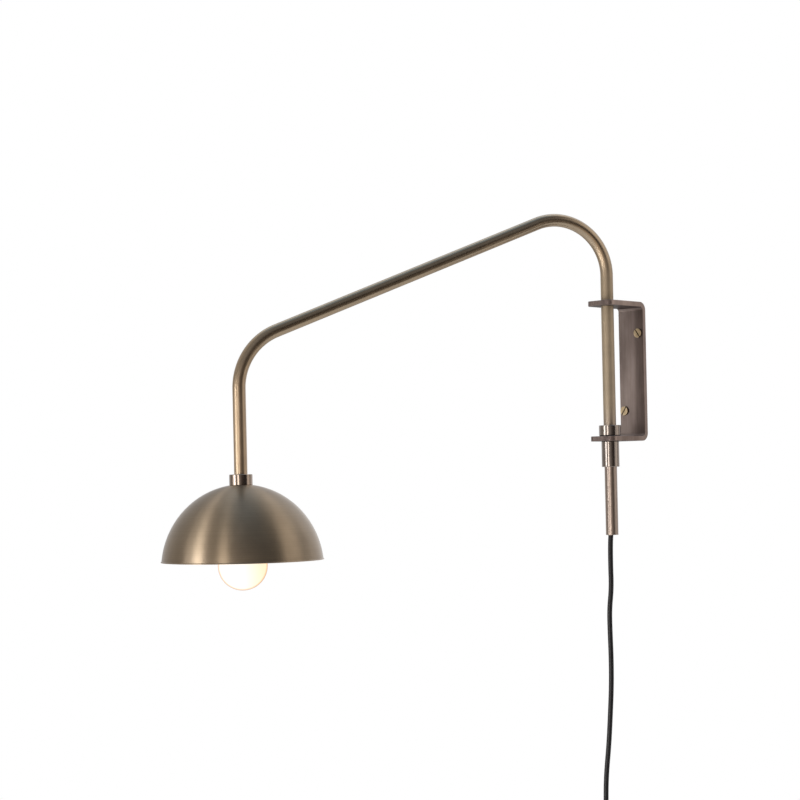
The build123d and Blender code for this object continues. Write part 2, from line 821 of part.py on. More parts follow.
def corner_radii(points):
    """Arc radius at each corner, from the shorter of its two runs."""
    radii = []
    for before, corner, after in zip(points, points[1:], points[2:]):
        turn = (corner - before).get_angle(after - corner)
        shorter = min((corner - before).length, (after - corner).length)
        radii.append(0.45 * shorter / tan(radians(turn / 2)))
    return radii


def report_cord(name, points, radii, solid):
    """Print a stretch's radii, length and volume against its section times its length."""
    with BuildLine() as stretch:
        FilletPolyline(*points, radius=radii)
    length = stretch.wires()[0].length
    volume_ratio = solid.volume / (pi * cord_radius**2 * length)
    print(name, "radii", [round(radius) for radius in radii])
    print(name, "length", round(length, 1), "volume ratio", round(volume_ratio, 5))


# Free cord from the grip down to the line switch
switch_cord_top = tail_bottom - cord_above_switch
switch_top = switch_cord_top - grommet_length
lead_points = [
    hung(0.0, grip_bottom),
    hung(0.0, grip_bottom - 14.0),
    hung(-2.5, tail_bottom - 5.3, 0.5),
    hung(-3.0, tail_bottom - 36.8, 0.9),
    hung(-2.5, tail_bottom - 67.8, 0.2),
    hung(-5.5, tail_bottom - 94.8, -0.6),
    hung(-5.3, tail_bottom - 123.8, -0.9),
    hung(-4.7, tail_bottom - 155.8, 0.1),
    hung(-5.2, tail_bottom - 190.8, 1.0),
    hung(-7.5, tail_bottom - 229.8, 0.9),
    hung(-9.9, tail_bottom - 265.8, 0.1),
    hung(-13.9, tail_bottom - 303.8, -0.6),
    hung(-15.2, tail_bottom - 332.8, -0.2),
    hung(switch_side, switch_cord_top, switch_out),
]
lead_radii = corner_radii(lead_points)
with BuildPart() as cord_lead:
    with BuildLine() as lead_route:
        FilletPolyline(*lead_points, radius=lead_radii)
    with BuildSketch(Plane(origin=lead_route.line @ 0, z_dir=lead_route.line % 0)):
        Circle(cord_radius)
    sweep(path=lead_route.line)
cord_lead.part.label = "cord_lead"
export_step(cord_lead.part, "parts/cord_lead.step")
report_cord("cord_lead", lead_points, lead_radii, cord_lead.part)

# Line switch: two grommets, two half shells, rocker on its pin, contacts and screws
switch_bottom = switch_top - switch_length
switch_cord_bottom = switch_bottom - grommet_length
switch_middle = (switch_top + switch_bottom) / 2
switch_plane = Plane(
    origin=hung(switch_side, switch_middle, switch_out),
    x_dir=cord_plane.x_dir,
    z_dir=cord_plane.z_dir,
)

with BuildPart() as switch_grommets:
    for direction in (1, -1):
        grommet_plane = Plane(
            origin=switch_plane.from_local_coords(Vector(0, direction * switch_length / 2, 0)),
            x_dir=cord_plane.x_dir,
            z_dir=(0, 0, direction),
        )
        with BuildSketch(grommet_plane):
            Circle(grommet_root_radius)
        with BuildSketch(grommet_plane.offset(grommet_length)):
            Circle(grommet_tip_radius)
        loft()
switch_grommets.part.label = "switch_grommets"
export_step(switch_grommets.part, "parts/switch_grommets.step")

switch_axis = Axis(switch_plane.origin, cord_plane.z_dir)
switch_hollow_width = switch_width - 2 * switch_wall
switch_hollow_length = switch_length - 2 * switch_wall
opening_half = rocker_radius + rocker_gap
boss_outer = rocker_width / 2 + rocker_gap + switch_boss_wall
with BuildPart() as switch_front:
    with BuildSketch(switch_plane):
        RectangleRounded(switch_width, switch_length, switch_corner)
    extrude(amount=switch_half_depth)
    front_face = switch_front.faces().sort_by(switch_axis)[-1]
    fillet(front_face.edges(), switch_edge)
    with BuildSketch(switch_plane):
        RectangleRounded(switch_hollow_width, switch_hollow_length, switch_corner - switch_wall)
    extrude(amount=switch_half_depth - switch_wall, mode=Mode.SUBTRACT)
    with BuildSketch(switch_plane.offset(switch_half_depth)):
        Rectangle(2 * boss_outer, 2 * (opening_half + switch_boss_margin))
    extrude(amount=-switch_half_depth + switch_boss_foot)
    with BuildSketch(switch_plane.offset(switch_half_depth)):
        Rectangle(rocker_width + 2 * rocker_gap, 2 * opening_half)
    extrude(amount=-switch_half_depth, mode=Mode.SUBTRACT)
    pin_plane = Plane(
        origin=switch_plane.from_local_coords(Vector(0, 0, rocker_pin_depth)),
        x_dir=(0, 0, 1),
        z_dir=cord_plane.x_dir,
    )
    with BuildSketch(pin_plane):
        Circle(rocker_pin_radius + fit_clearance)
    extrude(amount=boss_outer, both=True, mode=Mode.SUBTRACT)
switch_front.part.label = "switch_front"
export_step(switch_front.part, "parts/switch_front.step")

screw_posts = [(0, switch_screw_spacing / 2), (0, -switch_screw_spacing / 2)]
with BuildPart() as switch_back:
    with BuildSketch(switch_plane):
        RectangleRounded(switch_width, switch_length, switch_corner)
    extrude(amount=-switch_half_depth)
    back_face = switch_back.faces().sort_by(switch_axis)[0]
    fillet(back_face.edges(), switch_edge)
    with BuildSketch(switch_plane):
        RectangleRounded(switch_hollow_width, switch_hollow_length, switch_corner - switch_wall)
    extrude(amount=-switch_half_depth + switch_wall, mode=Mode.SUBTRACT)
    with BuildSketch(switch_plane.offset(-switch_half_depth + switch_wall)):
        with Locations(*screw_posts):
            Circle(switch_post_radius)
    extrude(amount=switch_half_depth - switch_wall)
    with BuildSketch(switch_plane.offset(-switch_half_depth)):
        with Locations(*screw_posts):
            Circle(switch_screw_radius + fit_clearance)
    extrude(amount=switch_half_depth, mode=Mode.SUBTRACT)
    with BuildSketch(switch_plane.offset(-switch_half_depth)):
        with Locations(*screw_posts):
            Circle(switch_screw_head_radius + fit_clearance)
    extrude(amount=switch_wall, mode=Mode.SUBTRACT)
switch_back.part.label = "switch_back"
export_step(switch_back.part, "parts/switch_back.step")

with BuildPart() as switch_screws:
    with BuildSketch(switch_plane.offset(-switch_half_depth + switch_screw_recess)):
        with Locations(*screw_posts):
            Circle(switch_screw_head_radius)
    extrude(amount=switch_wall - switch_screw_recess)
    with BuildSketch(switch_plane.offset(-switch_half_depth + switch_wall)):
        with Locations(*screw_posts):
            Circle(switch_screw_radius)
    extrude(amount=2 * switch_half_depth - 2 * switch_wall)
switch_screws.part.label = "switch_screws"
export_step(switch_screws.part, "parts/switch_screws.step")

# Rocker: round about its pin so that it turns in its opening, with a shallow V on top.
# At rest it is pushed in at its upper end, which is its on position.
half_swing = rocker_swing / 2
rocker_plane = Plane(
    origin=pin_plane.origin,
    x_dir=Vector(0, 0, 1).rotate(Axis((0, 0, 0), pin_plane.z_dir), -half_swing),
    z_dir=pin_plane.z_dir,
)
with BuildPart() as switch_rocker:
    with BuildSketch(rocker_plane):
        Circle(rocker_radius)
        with BuildLine():
            crown_edge = rocker_crown + 2 * rocker_radius * tan(radians(half_swing))
            Polyline(
                (-2 * rocker_radius, -rocker_belly),
                (2 * rocker_radius, -rocker_belly),
                (2 * rocker_radius, crown_edge),
                (0, rocker_crown),
                (-2 * rocker_radius, crown_edge),
                close=True,
            )
        make_face(mode=Mode.INTERSECT)
        Circle(rocker_pin_radius + running_clearance, mode=Mode.SUBTRACT)
    extrude(amount=rocker_width / 2, both=True)
switch_rocker.part.label = "switch_rocker"
export_step(switch_rocker.part, "parts/switch_rocker.step")

with BuildPart() as rocker_pin:
    with BuildSketch(pin_plane):
        Circle(rocker_pin_radius)
    extrude(amount=boss_outer, both=True)
rocker_pin.part.label = "rocker_pin"
export_step(rocker_pin.part, "parts/rocker_pin.step")

# Two contact strips on the floor of the back shell
strip_plane = switch_plane.offset(-switch_half_depth + switch_wall)
with BuildPart() as switch_contacts:
    with BuildSketch(strip_plane):
        with Locations((0, strip_spacing / 2), (0, -strip_spacing / 2)):
            Rectangle(strip_width, strip_length)
    extrude(amount=strip_thickness)
    with BuildSketch(strip_plane.offset(strip_thickness)):
        with Locations((0, strip_dome_spacing / 2), (0, -strip_dome_spacing / 2)):
            Circle(strip_dome_radius)
    extrude(amount=strip_dome_height)
switch_contacts.part.label = "switch_contacts"
export_step(switch_contacts.part, "parts/switch_contacts.step")

# Cord from the switch to the coil
cord_diameter = 2 * cord_radius
coil_centre_level = switch_cord_bottom - coil_below_switch
link_points = [
    hung(switch_side, switch_cord_bottom, switch_out),
    hung(switch_side, switch_cord_bottom - 13.0, switch_out),
    hung(-15.9, switch_cord_bottom - 30.0, 0.1),
    hung(coil_start_side, switch_cord_bottom - 49.0, 0.0),
    hung(coil_start_side, coil_centre_level + cord_diameter, 0.0),
]
link_radii = corner_radii(link_points)
with BuildPart() as cord_link:
    with BuildLine() as link_route:
        FilletPolyline(*link_points, radius=link_radii)
    with BuildSketch(Plane(origin=link_route.line @ 0, z_dir=link_route.line % 0)):
        Circle(cord_radius)
    sweep(path=link_route.line)
cord_link.part.label = "cord_link"
export_step(cord_link.part, "parts/cord_link.step")
report_cord("cord_link", link_points, link_radii, cord_link.part)

# Coil: four layers, spiralling in and out by turns, with a climb where the spiral reverses
coil_turns_per_layer = coil_quarters_per_layer / 4
coil_pitch = cord_diameter + coil_gap
coil_outer_radius = coil_mid_radius + coil_turns_per_layer * coil_pitch / 2
coil_turns = coil_layers * coil_turns_per_layer
coil_centre_side = coil_start_side - coil_outer_radius


def coil_point(turn):
    """Point of the coil's centreline after a number of turns from its start."""
    layer = int(turn / coil_turns_per_layer)
    along = turn - layer * coil_turns_per_layer
    inward = along if layer % 2 == 0 else coil_turns_per_layer - along
    radius = coil_outer_radius - coil_pitch * inward
    climb = 0.0
    for reversal in range(1, coil_layers):
        rise = min(max((turn - reversal * coil_turns_per_layer) * 2 + 0.5, 0.0), 1.0)
        climb += rise * rise * (3 - 2 * rise)
    angle = -2 * pi * turn
    return hung(
        coil_centre_side + radius * cos(angle),
        coil_centre_level + radius * sin(angle),
        -coil_pitch * climb,
    )


def coil_tangent(turn):
    """Direction of the coil there; it runs square to its radius at both ends."""
    if turn in (0, coil_turns):
        return cord_plane.from_local_coords(Vector(0, -1, 0)) - cord_plane.origin
    step = 0.0005
    return (coil_point(turn + step) - coil_point(turn - step)).normalized()


def biarc(start, start_way, finish, finish_way):
    """Two tangent arcs from one point and direction to another."""
    chord = finish - start
    sum_way = start_way + finish_way
    quad = 2 * (1 - start_way.dot(finish_way))
    half = chord.dot(sum_way)
    reach = (-half + sqrt(half**2 + quad * chord.dot(chord))) / quad
    first_corner = start + start_way * reach
    last_corner = finish - finish_way * reach
    middle = (first_corner + last_corner) / 2
    TangentArc(start, middle, tangent=start_way)
    TangentArc(middle, finish, tangent=(last_corner - first_corner).normalized())


with BuildPart() as cord_coil:
    with BuildLine() as coil_route:
        Line(hung(coil_start_side, coil_centre_level + cord_diameter), coil_point(0))
        for quarter in range(coil_layers * coil_quarters_per_layer):
            begin = quarter / 4
            end = (quarter + 1) / 4
            biarc(coil_point(begin), coil_tangent(begin), coil_point(end), coil_tangent(end))
        Line(coil_point(coil_turns), coil_point(coil_turns) - Vector(0, 0, plug_below_coil))
    with BuildSketch(Plane(origin=coil_route.line @ 0, z_dir=coil_route.line % 0)):
        Circle(cord_radius)
    sweep(path=coil_route.line)
cord_coil.part.label = "cord_coil"
export_step(cord_coil.part, "parts/cord_coil.step")
coil_length = coil_route.wires()[0].length
coil_volume_ratio = cord_coil.part.volume / (pi * cord_radius**2 * coil_length)
print("cord_coil length", round(coil_length, 1), "volume ratio", round(coil_volume_ratio, 5))
samples_per_turn = 72
sample_count = round(coil_turns * samples_per_turn) + 1
coil_samples = [coil_point(i / samples_per_turn) for i in range(sample_count)]
least_gap = min(
    (coil_samples[i] - coil_samples[j]).length - cord_diameter
    for i in range(len(coil_samples))
    for j in range(i + samples_per_turn // 2, len(coil_samples))
)
print("cord_coil least gap to itself", round(least_gap, 2))

# Tie round the bundle at the top of the coil
coil_inner_radius = coil_outer_radius - coil_turns_per_layer * coil_pitch
tie_low = coil_centre_level + coil_inner_radius - cord_radius - tie_clearance
tie_high = coil_centre_level + coil_outer_radius + cord_radius + tie_clearance - coil_pitch / 4
tie_front = cord_radius + tie_clearance
tie_back = -(coil_layers - 1) * coil_pitch - cord_radius - tie_clearance
tie_length = tie_high - tie_low
tie_depth = tie_front - tie_back
tie_plane = Plane(
    origin=hung(coil_centre_side, (tie_low + tie_high) / 2, (tie_front + tie_back) / 2),
    x_dir=(0, 0, 1),
    z_dir=cord_plane.x_dir,
)
with BuildPart() as coil_tie:
    with BuildSketch(tie_plane):
        RectangleRounded(tie_length + 2 * tie_thickness, tie_depth + 2 * tie_thickness, cord_radius)
        RectangleRounded(tie_length, tie_depth, cord_radius - tie_thickness, mode=Mode.SUBTRACT)
    extrude(amount=tie_width / 2, both=True)
coil_tie.part.label = "coil_tie"
export_step(coil_tie.part, "parts/coil_tie.step")

# Plug that hangs from the coil's end
plug_top = coil_centre_level - plug_below_coil
coil_finish = coil_point(coil_turns)
plug_plane = Plane(
    origin=(coil_finish.X, coil_finish.Y, plug_top), x_dir=cord_plane.x_dir, z_dir=(0, 0, 1)
)
with BuildPart() as plug_relief:
    with BuildSketch(plug_plane):
        Circle(plug_relief_tip)
    with BuildSketch(plug_plane.offset(-plug_relief_length)):
        Circle(plug_relief_root)
    loft()
plug_relief.part.label = "plug_relief"
export_step(plug_relief.part, "parts/plug_relief.step")

with BuildPart() as plug_body:
    with BuildSketch(plug_plane.offset(-plug_relief_length)):
        RectangleRounded(plug_neck_width, plug_neck_depth, plug_corner)
    with BuildSketch(plug_plane.offset(-plug_relief_length - plug_shoulder)):
        RectangleRounded(plug_width, plug_depth, plug_corner)
    loft()
    with BuildSketch(plug_plane.offset(-plug_relief_length - plug_shoulder)):
        RectangleRounded(plug_width, plug_depth, plug_corner)
    extrude(amount=plug_shoulder - plug_length)
plug_body.part.label = "plug_body"
export_step(plug_body.part, "parts/plug_body.step")

with BuildPart() as plug_blades:
    with BuildSketch(plug_plane.offset(-plug_relief_length - plug_length)):
        with Locations((blade_spacing / 2, 0), (-blade_spacing / 2, 0)):
            Rectangle(blade_thickness, blade_width)
    extrude(amount=-blade_length)
    blade_tips = plug_blades.faces().group_by(Axis.Z)[0]
    chamfer([edge for face in blade_tips for edge in face.edges()], blade_tip_break)
plug_blades.part.label = "plug_blades"
export_step(plug_blades.part, "parts/plug_blades.step")

cord_total = cord_lead.part.volume + cord_link.part.volume + cord_coil.part.volume
print("free cord in all", round(cord_total / (pi * cord_radius**2), 0))
print("stem axis", round(stem_end.X, 3), round(stem_end.Y, 3), "rim", round(shade_rim, 2))
print("bulb bottom", round(bulb_bottom, 2), "tail bottom", round(tail_bottom, 2))
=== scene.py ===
from math import cos, pi, radians, sin, sqrt, tan

import bmesh
import bpy
from mathutils import Matrix, Vector


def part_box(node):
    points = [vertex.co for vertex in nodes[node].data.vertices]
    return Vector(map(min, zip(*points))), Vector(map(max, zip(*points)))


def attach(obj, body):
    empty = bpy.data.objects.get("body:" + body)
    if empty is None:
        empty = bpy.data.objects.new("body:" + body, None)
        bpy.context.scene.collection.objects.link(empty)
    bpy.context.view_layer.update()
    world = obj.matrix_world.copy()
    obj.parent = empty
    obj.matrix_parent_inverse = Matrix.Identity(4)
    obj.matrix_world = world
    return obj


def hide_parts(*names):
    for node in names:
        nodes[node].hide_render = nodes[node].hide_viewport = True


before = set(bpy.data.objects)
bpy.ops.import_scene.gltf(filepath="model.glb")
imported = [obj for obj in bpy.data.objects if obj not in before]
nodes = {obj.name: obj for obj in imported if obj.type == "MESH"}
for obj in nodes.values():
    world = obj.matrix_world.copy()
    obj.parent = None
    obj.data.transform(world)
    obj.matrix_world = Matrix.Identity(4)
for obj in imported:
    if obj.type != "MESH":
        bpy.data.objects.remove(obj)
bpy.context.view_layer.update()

# Sizes in metres, in the frame's axes
MM = 0.001
UP = Vector((0.0, 0.0, 1.0))

# Level ways to the camera and to its right, which the lights and the room are set by
TO_CAMERA = Vector((0.6964, -0.7176, 0.0))
TO_RIGHT = Vector((0.7176, 0.6964, 0.0))

# Bent tube of the arm
POLE = Vector((0.0, -54.0, 0.0)) * MM
ARM_YAW = radians(27.5)
ARM_WAY = Vector((-sin(ARM_YAW), -cos(ARM_YAW), 0.0))
TUBE_RADIUS = 7.9375 * MM
TUBE_WALL = 1.25 * MM
TUBE_LENGTH = 1032.0 * MM
POLE_TOP = 121.5 * MM
REAR_BEND = 69.0 * MM
FRONT_BEND = 75.0 * MM
ARM_SLOPE = radians(21.7)
SLOPE_LENGTH = 367.0 * MM
TUBE_SEAT = 9.0 * MM
STEPS_IN_A_BEND = 56
TUBE_SIDES = 64

# Spun shade
SHADE_RADIUS = 97.0 * MM
SHADE_CROWN = 101.3 * MM
SHADE_RIM_RISE = 10.0 * MM
SHADE_WALL = 1.2 * MM
SHADE_SEAT_RADIUS = 14.5 * MM
SHADE_BORE = 5.15 * MM
SHADE_STEPS = 72
SHADE_SEAT_STEPS = 3
SHADE_SIDES = 256
LIP_REACH = 0.8 * MM
LIP_HEIGHT = 1.6 * MM
LIP_SHOULDER = 0.72 * MM
LIP_FACE_TOP = 0.4 * MM
LIP_ROUNDING = 0.15 * MM
LIP_HOLLOW = 0.5 * MM

# Edges that turn more than this stay sharp
SHARP_TURN = radians(35.0)


def middle(node):
    """Centre of a node's box."""
    low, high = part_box(node)
    return (low + high) / 2


def top(node):
    """Height of a node's highest point."""
    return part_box(node)[1].z


def bottom(node):
    """Height of a node's lowest point."""
    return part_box(node)[0].z


STEM = Vector((middle("shade_washer").x, middle("shade_washer").y, 0.0))


# Meshes

def keep_mesh(name, mesh, body, slot, *stands_for):
    """Puts a finished mesh in the scene as a piece of a body, for the nodes it stands for."""
    piece = bpy.data.objects.new(name, mesh)
    bpy.context.scene.collection.objects.link(piece)
    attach(piece, body)
    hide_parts(*stands_for)


def smooth(mesh):
    """Smooth shading, with edges kept sharp where faces meet at a clear turn."""
    mesh.polygons.foreach_set("use_smooth", [True] * len(mesh.polygons))
    mesh.set_sharp_from_angle(angle=SHARP_TURN)


def turned(name, profile, axis, material, segments):
    """Mesh turned about an upright axis from a closed profile of (radius, height) pairs.

    The UV map runs once round the piece in U, and along the profile in metres in V.
    """
    mesh = bpy.data.meshes.new(name)
    shape = bmesh.new()
    uv = shape.loops.layers.uv.new("UVMap")
    turns = [2 * pi * i / segments for i in range(segments)]
    rings = []
    for radius, height in profile:
        ring = [(axis.x + radius * cos(t), axis.y + radius * sin(t), height) for t in turns]
        rings.append([shape.verts.new(point) for point in ring])
    along = 0.0
    for step, low in enumerate(rings):
        after_step = (step + 1) % len(rings)
        high = rings[after_step]
        run = (Vector(profile[after_step]) - Vector(profile[step])).length
        for i in range(segments):
            after = (i + 1) % segments
            face = shape.faces.new((low[i], low[after], high[after], high[i]))
            corners = ((i, along), (i + 1, along), (i + 1, along + run), (i, along + run))
            for loop, (across, up) in zip(face.loops, corners):
                loop[uv].uv = (across / segments, up)
        along += run
    shape.normal_update()
    if shape.calc_volume(signed=True) < 0:
        bmesh.ops.reverse_faces(shape, faces=shape.faces)
    shape.to_mesh(mesh)
    shape.free()
    mesh.materials.append(material)
    smooth(mesh)
    return mesh


# Geometry Nodes

class Tree:
    """A Geometry Nodes tree with named inputs, and short calls to add and join nodes."""

    def __init__(self, name):
        self.tree = bpy.data.node_groups.new(name, "GeometryNodeTree")
        sockets = self.tree.interface
        for in_out in ("INPUT", "OUTPUT"):
            sockets.new_socket("Geometry", in_out=in_out, socket_type="NodeSocketGeometry")
        self.entry = self.tree.nodes.new("NodeGroupInput")
        self.exit = self.tree.nodes.new("NodeGroupOutput")
        self.values = {}

    def size(self, name, value, kind="NodeSocketFloat"):
        """Adds a named input, and returns the socket that gives its value."""
        socket = self.tree.interface.new_socket(name, in_out="INPUT", socket_type=kind)
        self.values[socket.identifier] = value
        return self.entry.outputs[name]

    def add(self, kind, inputs=None, prefix="GeometryNode", **settings):
        """Adds a node; an input's value is a number, a vector or another node's output."""
        node = self.tree.nodes.new(prefix + kind)
        for key, value in settings.items():
            setattr(node, key, value)
        for key, value in (inputs or {}).items():
            if isinstance(value, bpy.types.NodeSocket):
                self.tree.links.new(value, node.inputs[key])
            else:
                node.inputs[key].default_value = value
        return node

    def join(self, *parts):
        """Joins geometry."""
        node = self.tree.nodes.new("GeometryNodeJoinGeometry")
        for part in reversed(parts):
            self.tree.links.new(part, node.inputs[0])
        return node.outputs[0]

    def make(self, name, mesh, geometry, material):
        """Ends the tree, runs it on a mesh, and returns the result as a plain mesh."""
        real = self.add("RealizeInstances", {"Geometry": geometry})
        painted = self.add("SetMaterial", {"Geometry": real.outputs[0], "Material": material})
        self.tree.links.new(painted.outputs[0], self.exit.inputs[0])
        base = bpy.data.objects.new(name + "_base", mesh)
        bpy.context.scene.collection.objects.link(base)
        modifier = base.modifiers.new(name, "NODES")
        modifier.node_group = self.tree
        for identifier, value in self.values.items():
            modifier[identifier] = value
        bpy.context.view_layer.update()
        seen = base.evaluated_get(bpy.context.evaluated_depsgraph_get())
        made = bpy.data.meshes.new_from_object(seen)
        made.name = name
        base.modifiers.remove(modifier)
        bpy.data.objects.remove(base)
        return made


# Shaders

class ShaderTree:
    """A tree of shader nodes, with short calls to add and join nodes."""

    def __init__(self, tree):
        self.tree = tree

    def add(self, kind, inputs=None, **settings):
        """Adds a node; an input's value is a number, a colour or another node's output."""
        node = self.tree.nodes.new("ShaderNode" + kind)
        for key, value in settings.items():
            setattr(node, key, value)
        for key, value in (inputs or {}).items():
            self.give(node, key, value)
        return node

    def give(self, node, key, value):
        """Sets or links one input of a node."""
        if isinstance(value, bpy.types.NodeSocket):
            self.tree.links.new(value, node.inputs[key])
        elif node.inputs[key].type == "RGBA" and len(value) == 3:
            node.inputs[key].default_value = (*value, 1.0)
        else:
            node.inputs[key].default_value = value

    def part(self, vector, axis):
        """One part of a vector, X, Y or Z."""
        return self.add("SeparateXYZ", {"Vector": vector}).outputs[axis]

    def reach(self, vector, way):
        """How far a vector goes along a way."""
        inputs = {0: vector, 1: way}
        return self.add("VectorMath", inputs, operation="DOT_PRODUCT").outputs["Value"]

    def maths(self, operation, *values):
        """Result of an operation on values."""
        return self.add("Math", dict(enumerate(values)), operation=operation).outputs[0]

    def share(self, value, start, end, shape="LINEAR"):
        """How far a value has come from a start to an end, from 0 to 1."""
        inputs = {"Value": value, "From Min": start, "From Max": end}
        return self.add("MapRange", inputs, interpolation_type=shape).outputs[0]

    def span(self, value, low, high):
        """A value from 0 to 1 spread between two numbers."""
        return self.add("MapRange", {"Value": value, "To Min": low, "To Max": high}).outputs[0]

    def ramp(self, value, *stops):
        """Colour ramp from (position, colour) stops."""
        node = self.add("ValToRGB", {"Fac": value})
        elements = node.color_ramp.elements
        while len(elements) < len(stops):
            elements.new(0.5)
        for element, (position, colour) in zip(elements, stops):
            element.position = position
            element.color = (*colour, 1.0)
        return node.outputs["Color"]

    def mix(self, first, second, factor, blend="MIX"):
        """Mixes two colours."""
        node = self.add("Mix", data_type="RGBA", blend_type=blend)
        self.give(node, 0, factor)
        self.give(node, 6, first)
        self.give(node, 7, second)
        return node.outputs[2]


class Shader(ShaderTree):
    """A material's shader tree, with calls for what the finishes share."""

    def __init__(self, name):
        self.material = bpy.data.materials.new(name)
        self.material.use_nodes = True
        super().__init__(self.material.node_tree)
        self.surface = self.tree.nodes["Principled BSDF"]

    def set(self, **values):
        """Sets inputs of the surface shader; an underscore in a name stands for a space."""
        for key, value in values.items():
            self.give(self.surface, key.replace("_", " "), value)

    def place(self, scale=(1.0, 1.0, 1.0)):
        """Object coordinates, scaled."""
        where = self.add("TexCoord")
        return self.add("Mapping", {"Vector": where.outputs["Object"], "Scale": scale}).outputs[0]

    def facing(self, axis):
        """How far the surface faces along one of the object's axes, from -1 to 1."""
        return self.part(self.add("TexCoord").outputs["Normal"], axis)

    def noise(self, vector, scale, detail=3.0, roughness=0.55):
        """Noise between 0 and 1 at a place."""
        inputs = {"Vector": vector, "Scale": scale, "Detail": detail, "Roughness": roughness}
        return self.add("TexNoise", inputs).outputs["Fac"]

    def lines(self, value, scale, detail=4.0, roughness=0.7):
        """Noise along one value only, as fine parallel lines."""
        inputs = {"W": value, "Scale": scale, "Detail": detail, "Roughness": roughness}
        return self.add("TexNoise", inputs, noise_dimensions="1D").outputs["Fac"]

    def bump(self, height, strength, depth):
        """Bump from a height; the depth is in millimetres."""
        inputs = {"Height": height, "Strength": strength, "Distance": depth * MM}
        return self.add("Bump", inputs).outputs[0]

    def shade_by(self, tone, value, low, high, factor):
        """Darkens and lightens a colour by a value from 0 to 1."""
        shades = self.ramp(value, (0.3, grey(low)), (0.7, grey(high)))
        return self.mix(tone, shades, factor, "MULTIPLY")


def grey(level):
    """A colour with three equal parts."""
    return (level,) * 3


def spun_brass(name, light, dark):
    """Satin spun brass: fine lines round the shade, with a mottled olive patina.

    The inside is darker, and has a painted orange glow of the lit bulb's light, as emission.
    """
    shader = Shader(name)
    uv = shader.add("UVMap", uv_map="UVMap").outputs[0]
    along = shader.part(uv, "Y")
    clouds = shader.noise(shader.place(), 26.0, 4.0, 0.6)
    lines = shader.lines(along, 3000.0)
    bands = shader.lines(along, 520.0, 3.0, 0.6)
    tone = shader.ramp(clouds, (0.34, dark), (0.66, light))
    tone = shader.shade_by(tone, lines, 0.88, 1.07, 0.8)
    tone = shader.shade_by(tone, bands, 0.93, 1.05, 0.7)
    tangent = shader.add("Tangent", direction_type="UV_MAP", uv_map="UVMap").outputs[0]
    # Inside faces: a darker colour, and a painted orange glow of the bulb's light as emission
    inside = shader.share(shader.facing("Z"), 0.0, -0.12)
    fine_change = shader.span(lines, -0.03, 0.03)
    shader.set(
        Base_Color=shader.mix(tone, (0.26, 0.17, 0.11), inside),
        Emission_Color=shader.mix(grey(0.0), (1.0, 0.52, 0.28), inside),
        Emission_Strength=0.24,
        Metallic=1.0,
        Roughness=shader.maths("ADD", fine_change, shader.span(clouds, 0.38, 0.42)),
        Anisotropic=0.95,
        Anisotropic_Rotation=0.25,
        Tangent=tangent,
        Coat_Weight=0.4,
        Coat_Roughness=0.30,
        Normal=shader.bump(lines, 0.10, 0.02),
    )
    return shader.material


def turned_brass(name, light, dark):
    """Turned collars: bright brass with fine tool lines round an upright axis."""
    shader = Shader(name)
    at = shader.place()
    clouds = shader.noise(at, 60.0, 3.0, 0.6)
    lines = shader.lines(shader.part(at, "Z"), 5200.0)
    tone = shader.ramp(clouds, (0.34, dark), (0.66, light))
    tone = shader.shade_by(tone, lines, 0.90, 1.06, 0.6)
    fine_change = shader.span(lines, -0.02, 0.02)
    shader.set(
        Base_Color=tone,
        Metallic=1.0,
        Roughness=shader.maths("ADD", fine_change, shader.span(clouds, 0.17, 0.21)),
        Anisotropic=0.6,
        Anisotropic_Rotation=0.25,
        Tangent=shader.add("Tangent", direction_type="RADIAL", axis="Z").outputs[0],
        Coat_Weight=0.8,
        Coat_Roughness=0.15,
        Normal=shader.bump(lines, 0.05, 0.02),
    )
    return shader.material


def drawn_brass(name):
    """Drawn tube: satin tail, duller pole, polished slope and browner stem.

    Each finish starts at a share of the tube's length, counted from the tail's mouth.
    """
    tail_end, pole_start, pole_end, slope_start, slope_end, stem_start = (
        0.12, 0.16, 0.30, 0.36, 0.80, 0.92,
    )
    stem = 0.95
    shader = Shader(name)
    along = shader.add("Attribute", attribute_name="along").outputs["Fac"]
    reach = shader.share(along, 0.0, TUBE_LENGTH)
    clouds = shader.noise(shader.place(), 30.0, 4.0, 0.6)
    stains = shader.lines(along, 55.0, 3.0, 0.6)
    tone = shader.ramp(
        reach,
        (tail_end, (0.55, 0.455, 0.395)),
        (pole_start, (0.60, 0.495, 0.365)),
        (pole_end, (0.59, 0.48, 0.345)),
        (slope_start, (0.58, 0.46, 0.33)),
        (slope_end, (0.58, 0.45, 0.31)),
        (stem, (0.64, 0.49, 0.34)),
    )
    roughness = shader.ramp(
        reach,
        (tail_end, grey(0.31)),
        (pole_start, grey(0.58)),
        (pole_end, grey(0.58)),
        (slope_start, grey(0.27)),
        (slope_end, grey(0.27)),
        (stem_start, grey(0.38)),
    )
    metal = shader.ramp(
        reach,
        (tail_end, grey(1.0)),
        (pole_start, grey(0.86)),
        (pole_end, grey(0.86)),
        (slope_start, grey(1.0)),
    )
    tone = shader.shade_by(tone, clouds, 0.90, 1.05, 0.8)
    tone = shader.shade_by(tone, stains, 0.94, 1.04, 0.6)
    shader.set(
        Base_Color=tone,
        Metallic=metal,
        Roughness=shader.maths("ADD", roughness, shader.span(clouds, -0.025, 0.025)),
        Coat_Weight=0.3,
        Coat_Roughness=0.22,
    )
    return shader.material


